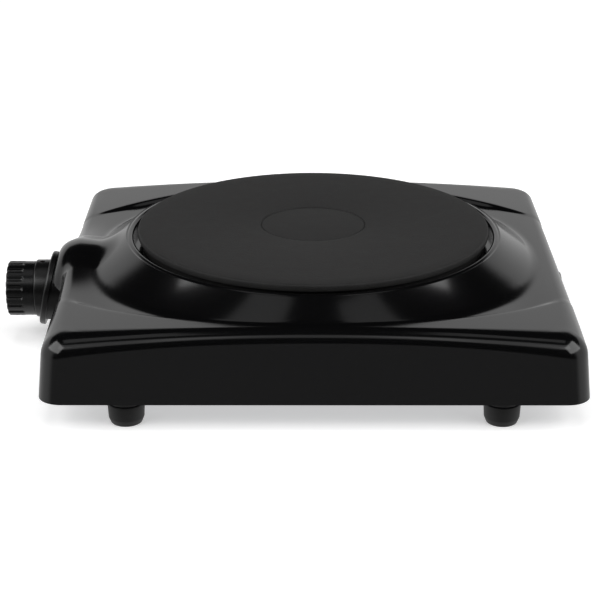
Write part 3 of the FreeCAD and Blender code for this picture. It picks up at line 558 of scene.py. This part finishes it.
    def hood(self, x: Array, y: Array, z: Array) -> Array:
        """How far a point is outside the half-round hood, its leaning mouth and its foot."""
        barrel = np.hypot(x, z - self.hood_axis) - self.hood_radius
        mouth = (z - self.knob_axis) * math.tan(self.lean) - self.mouth - y
        cap = smooth_max(barrel, mouth * math.cos(self.lean), self.hood_edge)
        cap = smooth_max(cap, self.hood_foot - z, self.hood_soft)
        return smooth_max(cap, y + self.hood_back, self.hood_soft)

    def depth(self, points: Array) -> Array:
        """How far points are outside the whole form, with its parts blended into one."""
        x, y, z = points[..., 0], points[..., 1], points[..., 2]
        body = smooth_min(self.block(x, y, z), self.ring(x, y, z), self.foot_blend)
        return smooth_min(body, self.hood(x, y, z), self.hood_blend)

    def lip_end(self) -> tuple[float, float]:
        """Where the round lip of the ring runs into the cone: reach and height."""
        reach = self.opening + self.lip_round * (1 + math.cos(self.lip_sweep))
        return reach, self.lip_z - self.lip_round * (1 - math.sin(self.lip_sweep))

    def skin(self, start: Array, way: Array, inset: float) -> Array:
        """Follow straight lines out of the form until they are inset short of its skin.

        The crossing is found by halving the stretch that holds it.

        Args:
            start: Points inside the form.
            way: Directions of length one.
            inset: How far inside the skin to stop.

        Returns:
            The points where the lines reach the skin.
        """
        low = np.zeros(start.shape[:-1])
        high = np.full(start.shape[:-1], self.longest_line)
        for _ in range(26):
            middle = (low + high) / 2
            out = self.depth(start + way * middle[..., None]) > -inset
            high = np.where(out, middle, high)
            low = np.where(out, low, middle)
        return start + way * high[..., None]

    def bearings(self, count: int) -> Array:
        """Angles round the plate, closer together at corners, wing ends and the hood.

        The angles are equal shares of a running total of their wanted closeness.
        """
        fine = np.linspace(-math.pi, math.pi, 40001)
        wing_end = math.atan2(self.half_length, math.sqrt(
            self.arc_radius ** 2 - self.half_length ** 2) - self.arc_centre)
        corner = math.atan2(self.half_length - 4, self.half_width - 4)
        close = np.ones_like(fine)
        for sign_y in (-1, 1):
            for side in (0.0, math.pi):
                for place, (spread, weight) in ((wing_end, self.close_at_wing),
                                                (corner, self.close_at_corner)):
                    centre = sign_y * abs(side - place)
                    close += weight * np.exp(-((fine - centre) / spread) ** 2)
        spread, weight = self.close_at_hood
        close += weight * np.exp(-((fine + math.pi / 2) / spread) ** 4)
        total = np.cumsum(close)
        share = np.arange(count) / count * (total[-1] - total[0]) + total[0]
        return np.interp(share, total, fine)

    def surface(self, columns: int = 720) -> Surface:
        """The whole sheet as one ring of profiles: round the outside, then back inside.

        Each column is cut by straight lines: upright ones over the top, a fan from a core just
        inside the wall over the edge, then lines that go down and out to the foot.
        """
        angle = self.bearings(columns)
        out = np.stack([np.cos(angle), np.sin(angle), 0 * angle], axis=-1)
        plain = self.half_width / np.maximum(np.abs(out[:, 0]), 1e-9)
        plain = np.minimum(plain, self.half_length / np.maximum(np.abs(out[:, 1]), 1e-9))
        wall = self.wall_reach(out, plain)
        core = wall - self.core_inset
        crease = -self.arc_centre * np.abs(out[:, 0]) + np.sqrt(
            self.arc_radius ** 2 - (self.arc_centre * out[:, 1]) ** 2)
        crease = np.minimum(crease, core - self.shoulder - self.crease_clear)
        outer = self.profile(angle, out, core, crease, 0.0, (8, 15, 9, 7, 8), (24, 12, 10))
        inner = self.profile(angle, out, core, crease, self.sheet, (4, 5, 3, 3, 4), (9, 6, 5))
        lip = self.turned_rows(out, self.lip_rows())
        collar = self.turned_rows(out, np.array([
            [self.opening + self.sheet, self.lip_z - self.lip_depth],
            [self.opening + self.sheet, self.rim_z - self.sheet],
            [self.ledge, self.rim_z - self.sheet], [self.ledge, self.rim_z]]))
        return Surface(np.concatenate([lip, outer, inner[::-1], collar]), rows_close=True)

    def wall_reach(self, out: Array, plain: Array) -> Array:
        """How far the plain wall is from the plate's axis, half way up, by halving."""
        low = plain * 0.5
        high = plain * 1.05
        for _ in range(30):
            middle = (low + high) / 2
            x, y = out[:, 0] * middle, out[:, 1] * middle
            outside = self.block(x, y, np.full_like(x, self.probe_z)) > 0
            high = np.where(outside, middle, high)
            low = np.where(outside, low, middle)
        return high

    def profile(self, angle: Array, out: Array, core: Array, crease: Array, inset: float,
                top_rows: tuple[int, ...], side_rows: tuple[int, int, int]) -> Array:
        """Rows of points from the ring's lip to the foot of the skirt.

        Args:
            angle: Bearing of each column.
            out: Level direction of each column.
            core: Reach of the fan's core in each column.
            crease: Reach of the wing's step in each column.
            inset: How far inside the outer skin.
            top_rows: Rows from lip to cone foot, to the step, up it, over its shoulder and on
                to the core.
            side_rows: Rows over the edge, down to the wall and down the wall.

        Returns:
            The rows, each with one point for every column.
        """
        before = self.step_rows * self.step_half
        after = self.shoulder + self.shoulder_clear
        stops = [np.full_like(core, self.lip_end()[0] + inset),
                 np.full_like(core, self.cone_foot + inset),
                 crease - before, crease + before, crease + after, core]
        reach = [start + (end - start) * np.linspace(0, 1, rows, endpoint=False)[:, None]
                 for start, end, rows in zip(stops, stops[1:], top_rows)]
        reach = np.concatenate(reach)[0 if inset else 1:]
        start = out[None] * reach[..., None]
        start[..., 2] = self.start_z
        up = np.zeros_like(start)
        up[..., 2] = 1.0
        top = self.skin(start, up, inset)
        spread = (angle + math.pi / 2) / self.veer_spread
        veer = self.veer * spread * np.exp(0.5 - spread * spread / 2)
        aside = np.stack([np.cos(angle + veer), np.sin(angle + veer)], axis=-1)
        tilt = np.radians(np.concatenate([
            np.linspace(90, 0, side_rows[0], endpoint=False),
            np.linspace(0, self.fan_low, side_rows[1], endpoint=False),
            np.linspace(self.fan_low, 0, side_rows[2])]))
        drop = np.concatenate([np.zeros(side_rows[0] + side_rows[1]),
                               np.linspace(0, 1, side_rows[2])])
        start = np.repeat((out * core[:, None])[None], len(tilt), axis=0)
        start[..., 2] = (self.core_z + (self.floor_gap - self.core_z) * drop)[:, None]
        way = np.empty_like(start)
        way[..., :2] = np.cos(tilt)[:, None, None] * aside[None]
        way[..., 2] = np.sin(tilt)[:, None]
        side = self.skin(start, way, inset)
        return np.concatenate([top, side])

    def lip_rows(self) -> Array:
        """The straight inner wall of the ring and its round lip, as reach and height."""
        sweep = np.linspace(math.pi, self.lip_sweep, 9)
        centre = (self.opening + self.lip_round, self.lip_z - self.lip_round)
        arc = np.stack([centre[0] + self.lip_round * np.cos(sweep),
                        centre[1] + self.lip_round * np.sin(sweep)], axis=-1)
        wall = np.array([[self.opening, self.rim_z], [self.opening, self.rim_z + 2]])
        return np.concatenate([wall, arc])

    @staticmethod
    def turned_rows(out: Array, profile: Array) -> Array:
        """Carry reach and height round the plate along the given bearings."""
        rows = profile[:, 0, None, None] * out[None]
        rows[..., 2] = profile[:, 1, None]
        return rows

    def cutter(self, name: str, outline: Array, y_from: float, y_to: float) -> bpy.types.Object:
        """A prism along Y that cuts an opening.

        Args:
            name: What the cutter is called.
            outline: Its outline as x and z.
            y_from: Where it starts.
            y_to: Where it ends.

        Returns:
            The cutter, not yet used.
        """
        ends = np.array([y_from, y_from, y_to, y_to])
        points = np.empty((4, len(outline), 3))
        points[..., 0] = outline[:, 0]
        points[..., 1] = ends[:, None]
        points[..., 2] = outline[:, 1]
        points[[0, 3], :, 0] = outline[:, 0].mean()
        points[[0, 3], :, 2] = outline[:, 1].mean()
        made = bpy.data.objects.new(name, self.bench.mesh(name, [Surface(points)]))
        bpy.context.scene.collection.objects.link(made)
        return made

    def build(self) -> None:
        """Make the sheet, cut the bezel's arch and the gland's hole, and finish it."""
        mesh = self.bench.mesh("housing", [self.surface()])
        made = bpy.data.objects.new("housing", mesh)
        bpy.context.scene.collection.objects.link(made)
        half = np.linspace(0, math.pi, 49)
        arch = np.stack([self.arch * np.cos(half), self.knob_axis + self.arch * np.sin(half)], -1)
        arch = np.concatenate([[[self.arch, self.arch_foot]], arch,
                               [[-self.arch, self.arch_foot]]])
        turn = np.linspace(0, TURN, 48, endpoint=False)
        hole = np.stack([self.gland_hole * np.cos(turn),
                         self.gland_height + self.gland_hole * np.sin(turn)], -1)
        cutters = [self.cutter("arch", arch, -self.mouth - 20, -self.arch_depth),
                   self.cutter("cord_hole", hole, self.half_length - 20, self.half_length + 20)]
        for tool in cutters:
            cut = made.modifiers.new(tool.name, "BOOLEAN")
            cut.operation = "DIFFERENCE"
            cut.solver = "EXACT"
            cut.object = tool
        bpy.context.view_layer.update()
        ready = made.evaluated_get(bpy.context.evaluated_depsgraph_get())
        result = bpy.data.meshes.new_from_object(ready)
        made.modifiers.clear()
        made.data = result
        for tool in cutters:
            bpy.data.objects.remove(tool)
        self.bench.finish(made, Slot.ENAMEL, Body.APPLIANCE, ("housing_shell",))


# ------------------------------------------------------------------ plate

@dataclass
class Plate:
    """The sealed cast plate: an undercut rim, a shallow ringed recess, coil grooves below."""

    bench: Bench
    radius: float = 91.8
    top: float = 62.8
    rim_drop: float = 3.6
    rim_undercut: float = 2.2
    under: float = 47.0
    rim_z: float = 54.0
    core: float = 85.5
    rim_round: float = 1.2
    recess: float = 27.5
    recess_depth: float = 0.25
    ring_groove: tuple[float, float] = (0.9, 0.2)
    ring_groove_depths: float = 3.5
    grooves: tuple[float, float] = (40.0, 66.0)
    groove_half: float = 7.0
    groove_depth: float = 9.0
    stud: float = 3.0

    def build(self) -> None:
        """Turn the casting's section about the upright axis."""
        roof = self.under + self.groove_depth
        corners = [(self.stud, roof, 0.0), (0.0, roof, 0.0),
                   (0.0, self.top - self.recess_depth, 0.0),
                   (self.recess - self.ring_groove[0], self.top - self.recess_depth, 0.1),
                   (self.recess - self.ring_groove[1],
                    self.top - self.ring_groove_depths * self.recess_depth, 0.15),
                   (self.recess + self.recess_depth, self.top, 0.15),
                   (self.radius - 8, self.top, 0.0),
                   (self.radius, self.top, self.rim_round),
                   (self.radius, self.top - self.rim_drop, 0.4),
                   (self.radius - self.rim_undercut, self.top - self.rim_drop - 0.4, 0.4),
                   (self.radius - self.rim_undercut, self.rim_z, 0.3),
                   (self.core, self.rim_z, 0.0), (self.core, self.under, 1.0)]
        for middle in reversed(self.grooves):
            corners += [(middle + self.groove_half, self.under, 0.5),
                        (middle + self.groove_half, roof, 0.5),
                        (middle - self.groove_half, roof, 0.5),
                        (middle - self.groove_half, self.under, 0.5)]
        corners += [(self.stud, self.under, 0.0)]
        casting = lathe(rounded_profile(corners, steps=5), 320)
        self.bench.piece("cast_plate", [casting], Slot.IRON, Body.APPLIANCE, ("hotplate",))


# ------------------------------------------------------------------ control

@dataclass
class Control:
    """The fluted knob, the leaning bezel with its collar, and the pilot lens."""

    bench: Bench
    axis: float = 26.5
    tip: float = 161.7
    length: float = 14.5
    radius: float = 14.4
    flutes: int = 18
    flute_depth: float = 1.3
    flute_round: float = 1.65
    flute_length: float = 9.4
    tip_round: float = 0.9
    shaft: float = 3.0
    shaft_clear: float = 0.02
    socket_wall: float = 2.4
    hub: float = 6.0
    inside: float = 12.4
    face_wall: float = 2.0
    face_ring: float = 11.2
    face_slope: float = 0.4
    face_sink: float = 0.35
    mouth: float = 138.7
    lean: float = 11.7
    flange: float = 19.75
    flange_sheet: float = 3.3
    collar: float = 15.25
    collar_reach: float = 147.0
    neck: float = 18.5
    neck_back: float = 121.2
    floor_gap: float = 14.0
    lens: float = 1.7
    lens_y: float = -143.5

    def knob(self) -> None:
        """Carry a fluted outline along the axis of the knob.

        Inside a flute, the reach is the near side of a circle that stands half a flute depth
        outside the barrel.  The circle shrinks as a quarter round where a flute runs out.
        """
        back, edge = 0.0, self.length
        along = np.concatenate([
            [back, back], np.linspace(0.4, edge - self.flute_length - 0.4, 5),
            np.linspace(edge - self.flute_length, edge - self.flute_length + self.flute_round, 10),
            np.linspace(edge - self.flute_length + 2.2, edge - self.tip_round, 7)])
        shrink = np.concatenate([[0.4], np.zeros(len(along) - 1)])
        tip_turn = np.linspace(0, math.pi / 2, 7)[1:]
        along = np.concatenate([along, edge - self.tip_round * (1 - np.sin(tip_turn))])
        shrink = np.concatenate([shrink, self.tip_round * (1 - np.cos(tip_turn))])
        angle = np.arange(self.flutes * 24) * TURN / (self.flutes * 24)
        pitch = TURN / self.flutes
        off = (angle + pitch / 2) % pitch - pitch / 2
        centre = self.radius + self.flute_depth / 2
        run_out = np.clip((along - (edge - self.flute_length)) / self.flute_round, 0, 1)
        size = self.flute_round * np.sqrt(1 - (1 - run_out) ** 2)
        dent = size[:, None] ** 2 - (centre * np.sin(off))[None] ** 2
        near = centre * np.cos(off)[None] - np.sqrt(np.maximum(dent, 0))
        reach = np.where(dent > 0, np.minimum(near, self.radius), self.radius)
        reach = smooth_min(reach, np.full_like(reach, self.radius), 0.12) - shrink[:, None]
        outside = np.empty((len(along), len(angle), 3))
        outside[..., 0] = reach * np.cos(angle)
        outside[..., 1] = reach * np.sin(angle)
        outside[..., 2] = along[:, None]
        sunk = edge - self.face_sink
        face = self.knob_rings(angle, [(self.face_ring, edge),
                                       (self.face_ring - self.face_slope, sunk), (0.0, sunk)])
        bore, depth = self.shaft + self.shaft_clear, edge - self.socket_wall
        hollow = self.knob_rings(angle, [
            (0.0, depth), (bore, depth), (bore, 0.0), (self.hub, 0.0),
            (self.hub, edge - self.face_wall), (self.inside, edge - self.face_wall),
            (self.inside, 0.0)])
        grid = Surface(np.concatenate([hollow, outside, face]))
        made = laid(grid, 0.0, (0.0, self.length - self.tip, self.axis))
        self.bench.piece("knob_grip", [made], Slot.KNOB, Body.CONTROL, ("knob",))

    @staticmethod
    def knob_rings(angle: Array, profile: list[tuple[float, float]]) -> Array:
        """Plain rings of the knob, as reach and distance along its axis."""
        section = np.array(profile)
        rings = np.empty((len(section), len(angle), 3))
        rings[..., 0] = section[:, 0, None] * np.cos(angle)
        rings[..., 1] = section[:, 0, None] * np.sin(angle)
        rings[..., 2] = section[:, 1, None]
        return rings

    def bezel(self) -> None:
        """The leaning flange, the level collar in front of it and the neck behind it."""
        hollow = self.collar - 2.2
        front = self.collar_reach
        flange = lathe(rounded_profile([
            (hollow + 0.4, 0.0, 0.0), (self.flange, 0.0, 0.5),
            (self.flange, self.flange_sheet, 1.3), (hollow + 0.4, self.flange_sheet, 0.0)]), 128)
        flange = laid(flange, self.lean, (0.0, -self.mouth, self.axis))
        collar = lathe(rounded_profile([
            (self.shaft + 0.6, front, 0.2), (self.collar, front, 0.9),
            (self.collar, self.mouth - 1, 0.0), (hollow, self.mouth - 1, 0.0),
            (hollow, front - 2.5, 0.3), (self.shaft + 0.6, front - 2.5, 0.2)]), 128)
        collar = laid(collar, 0.0, (0.0, 0.0, self.axis))
        self.bench.piece("bezel_flange", [flange, collar, self.neck_tube(hollow)], Slot.BEZEL,
                         Body.APPLIANCE, ("control_bezel",))

    def neck_tube(self, hollow: float) -> Surface:
        """The neck: a tube whose outside is cut flat at the foot and whose mouth leans."""
        angle = np.arange(128) * TURN / 128
        rings = []
        for reach, level, leaning in ((self.neck, self.neck_back, False),
                                      (self.neck, self.mouth + 1, True),
                                      (hollow, self.mouth + 1, True),
                                      (hollow, self.neck_back, False)):
            z = np.maximum(self.axis + reach * np.sin(angle), self.floor_gap)
            lean = (z - self.axis) * math.tan(math.radians(self.lean)) if leaning else 0 * z
            rings.append(np.stack([reach * np.cos(angle), lean - level, z], axis=-1))
        return Surface(np.stack(rings), rows_close=True)

    def pilot_lens(self) -> None:
        """A small domed lens in the top of the collar."""
        top = self.collar + 0.3
        dome = rounded_profile([(0.0, top - 3.0, 0.0), (self.lens, top - 3.0, 0.0),
                                (self.lens, top - 0.25, 0.5), (0.0, top + 0.1, 0.0)],
                               closed=False)
        lens = lathe(dome, 40, closed=False)
        lens.points[..., 2] += self.axis
        lens.points[..., 1] += self.lens_y
        self.bench.piece("pilot_lens_dome", [lens], Slot.LENS, Body.APPLIANCE, ("pilot_lens",))

    def build(self) -> None:
        """Make the knob, the bezel and the lens."""
        self.knob()
        self.bezel()
        self.pilot_lens()


# ------------------------------------------------------------------ feet

@dataclass
class Feet:
    """Four moulded rubber feet, each with a screw pocket and a groove under the body."""

    bench: Bench
    x: float = 110.0
    y: float = 90.0
    radius: float = 9.0
    cone: float = 10.4
    groove: float = 0.6
    top: float = 15.0
    screw: float = 2.1
    pocket: float = 4.4
    pocket_depth: float = 6.5

    def build(self) -> None:
        """Turn one section and carry it to the four corners."""
        section = rounded_profile([
            (self.pocket, 0.0, 0.3), (self.radius - 1.6, 0.0, 0.7), (self.radius - 0.4, 3.0, 0.8),
            (self.radius, self.cone, 0.5), (self.radius - 1, self.cone, 0.1),
            (self.radius - 1, self.cone + self.groove, 0.1),
            (self.radius, self.cone + self.groove, 0.3), (self.radius, self.top, 0.3),
            (self.screw, self.top, 0.0), (self.screw, self.pocket_depth, 0.0),
            (self.pocket, self.pocket_depth, 0.2)])
        for side, x in (("left", -self.x), ("right", self.x)):
            for end, y in (("front", -self.y), ("rear", self.y)):
                foot = lathe(section, 72)
                foot.points[..., 0] += x
                foot.points[..., 1] += y
                self.bench.piece(f"rubber_foot_{side}_{end}", [foot], Slot.RUBBER, Body.APPLIANCE,
                                 (f"foot_{side}_{end}",))


@dataclass
class Gland:
    """The cord gland in the rear wall: a flange on either side of the sheet and a neck."""

    bench: Bench
    wall: float = 130.04
    height: float = 27.5
    draft: float = math.radians(4.9)
    neck: float = 7.0
    bore: float = 3.6
    flange: float = 9.0
    outer_flange: float = 7.9
    lip: float = 2.2
    inner_lip: float = 3.0
    sheet: float = 1.05

    def build(self) -> None:
        """Turn the section about the cord, then lean it as the wall leans."""
        back = -self.sheet - self.inner_lip
        made = lathe(rounded_profile([
            (self.bore, back, 0.5), (self.flange, back, 0.6), (self.flange, -self.sheet, 0.2),
            (self.neck, -self.sheet, 0.0), (self.neck, 0.0, 0.0), (self.outer_flange, 0.0, 0.0),
            (self.outer_flange, self.lip, 0.9), (self.bore, self.lip, 0.5)]), 72)
        across, up, along = (made.points[..., i].copy() for i in range(3))
        made.points[..., 0] = across
        made.points[..., 1] = self.wall + along - up * math.tan(self.draft)
        made.points[..., 2] = self.height + up
        self.bench.piece("cord_gland_flange", [made], Slot.RUBBER, Body.APPLIANCE, ("cord_gland",))


# ------------------------------------------------------------------ studio

@dataclass(frozen=True)
class Softbox:
    """A soft light that faces the appliance from a bearing and a height, in degrees."""

    name: str
    bearing: float
    height: float
    width: float
    tall: float
    radiance: float
    distance: float = 2.4
    mirrored: bool = True

    def build(self, aim: Array) -> None:
        """Hang the light so that it looks at the aim."""
        azimuth, elevation = math.radians(self.bearing), math.radians(self.height)
        away = np.array([math.cos(elevation) * math.cos(azimuth),
                         math.cos(elevation) * math.sin(azimuth), math.sin(elevation)])
        lamp = bpy.data.lights.new(self.name, "AREA")
        lamp.shape = "RECTANGLE"
        lamp.size = self.width
        lamp.size_y = self.tall
        lamp.energy = self.radiance * math.pi * self.width * self.tall
        made = bpy.data.objects.new(self.name, lamp)
        made.location = aim + away * self.distance
        made.rotation_euler = (math.pi / 2 - elevation, 0.0, azimuth + math.pi / 2)
        made.visible_glossy = self.mirrored
        made.visible_camera = False
        bpy.context.scene.collection.objects.link(made)


@dataclass
class Studio:
    """The pale floor, the even surroundings, the soft lights and the camera."""

    plate_y: float
    eye: tuple[float, float, float] = (0.8826, -0.0060, 0.3611)
    look_down: float = 21.15
    look_left: float = 0.058
    lens: float = 106.2
    back_glow: tuple[float, float, float, float] = (0.374, 0.48, 0.7, 0.005)
    front_glow: tuple[float, float, float, float] = (-0.12, -0.02, 0.22, 0.008)
    back_to_front: tuple[float, float, float, float] = (0.25, 0.65, 0.0, 1.0)
    floor_half: float = 12.0
    floor_glow: float = 0.42
    aim_height: float = 0.04
    lights: tuple[Softbox, ...] = (
        Softbox("overhead", 90.0, 90.0, 1.5, 1.5, 2.0, 2.2, mirrored=False),
        Softbox("front_top", 0.0, 50.0, 0.9, 0.9, 0.5),
        Softbox("front_left", -34.0, 48.0, 1.5, 0.8, 0.7),
        Softbox("front_right", 34.0, 48.0, 1.5, 0.8, 0.8),
        Softbox("side_left", -68.0, 38.0, 2.6, 1.4, 2.8),
        Softbox("side_right", 68.0, 38.0, 2.6, 1.4, 2.8),
        Softbox("top_left", -84.0, 74.0, 1.2, 0.6, 0.5),
        Softbox("top_right", 88.0, 74.0, 1.0, 0.6, 0.45),
    )

    def camera(self) -> None:
        """Stand the camera across from the wing, looking down at the plate."""
        data = bpy.data.cameras.new("camera")
        data.lens = self.lens
        data.sensor_width = 36.0
        data.clip_end = 50.0
        made = bpy.data.objects.new("camera", data)
        made.location = (self.eye[0], self.plate_y * MM + self.eye[1], self.eye[2])
        made.rotation_euler = (math.radians(90 - self.look_down), 0.0,
                               math.radians(90 + self.look_left))
        bpy.context.scene.collection.objects.link(made)
        bpy.context.scene.camera = made

    def floor(self) -> None:
        """A wide pale floor that glows a little, as a light table does."""
        mesh = bpy.data.meshes.new("floor")
        half = self.floor_half
        mesh.from_pydata([(-half, -half, 0), (half, -half, 0), (half, half, 0), (-half, half, 0)],
                         [], [(0, 1, 2, 3)])
        made = bpy.data.objects.new("floor", mesh)
        paint = bpy.data.materials.new("pale_floor")
        paint.use_nodes = True
        shader = paint.node_tree.nodes["Principled BSDF"]
        shader.inputs["Base Color"].default_value = (0.9, 0.9, 0.9, 1.0)
        shader.inputs["Roughness"].default_value = 1.0
        shader.inputs["Specular IOR Level"].default_value = 0.0
        shader.inputs["Emission Color"].default_value = (1.0, 1.0, 1.0, 1.0)
        shader.inputs["Emission Strength"].default_value = self.floor_glow
        mesh.materials.append(paint)
        made.visible_glossy = False
        bpy.context.scene.collection.objects.link(made)

    def surroundings(self) -> None:
        """White low down behind and beside the appliance, dark overhead and in front."""
        world = bpy.data.worlds.new("studio")
        world.use_nodes = True
        bpy.context.scene.world = world
        tree = world.node_tree
        sky = tree.nodes["Background"]
        look = tree.nodes.new("ShaderNodeTexCoord").outputs["Generated"]
        parts = tree.nodes.new("ShaderNodeSeparateXYZ")
        tree.links.new(look, parts.inputs["Vector"])
        back = self.ramp(tree, parts.outputs["Z"], *self.back_glow)
        front = self.ramp(tree, parts.outputs["Z"], *self.front_glow)
        way = self.ramp(tree, parts.outputs["X"], *self.back_to_front)
        blend = tree.nodes.new("ShaderNodeMix")
        tree.links.new(way, blend.inputs["Factor"])
        tree.links.new(back, blend.inputs["A"])
        tree.links.new(front, blend.inputs["B"])
        seen = tree.nodes.new("ShaderNodeLightPath").outputs["Is Camera Ray"]
        white = tree.nodes.new("ShaderNodeMix")
        white.inputs["B"].default_value = 1.0
        tree.links.new(seen, white.inputs["Factor"])
        tree.links.new(blend.outputs["Result"], white.inputs["A"])
        tree.links.new(white.outputs["Result"], sky.inputs["Strength"])
        sky.inputs["Color"].default_value = (1.0, 1.0, 1.0, 1.0)

    @staticmethod
    def ramp(tree: bpy.types.NodeTree, value: bpy.types.NodeSocket, low: float, high: float,
             start: float, end: float) -> bpy.types.NodeSocket:
        """Turn a value into a soft step from start, at low, to end, at high."""
        step = tree.nodes.new("ShaderNodeMapRange")
        step.interpolation_type = "SMOOTHSTEP"
        for name, number in (("From Min", low), ("From Max", high), ("To Min", start),
                             ("To Max", end)):
            step.inputs[name].default_value = number
        tree.links.new(value, step.inputs["Value"])
        return step.outputs["Result"]

    def build(self) -> None:
        """Set up everything round the appliance."""
        bpy.context.scene.view_settings.view_transform = "Standard"
        self.surroundings()
        self.floor()
        aim = np.array([0.0, self.plate_y * MM, self.aim_height])
        for light in self.lights:
            light.build(aim)
        self.camera()


# ------------------------------------------------------------------ all


def main() -> None:
    """Build every piece in order."""
    logging.basicConfig(level=logging.INFO)
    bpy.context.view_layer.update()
    low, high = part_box("hotplate")
    plate_y = (low.y + high.y) / 2 / MM
    shop = FinishShop()
    shop.dress_nodes()
    bench = Bench(shop, plate_y)
    for group in (Housing(bench), Plate(bench), Control(bench), Feet(bench), Gland(bench),
                  Studio(plate_y)):
        group.build()


if __name__ == "__main__":
    main()
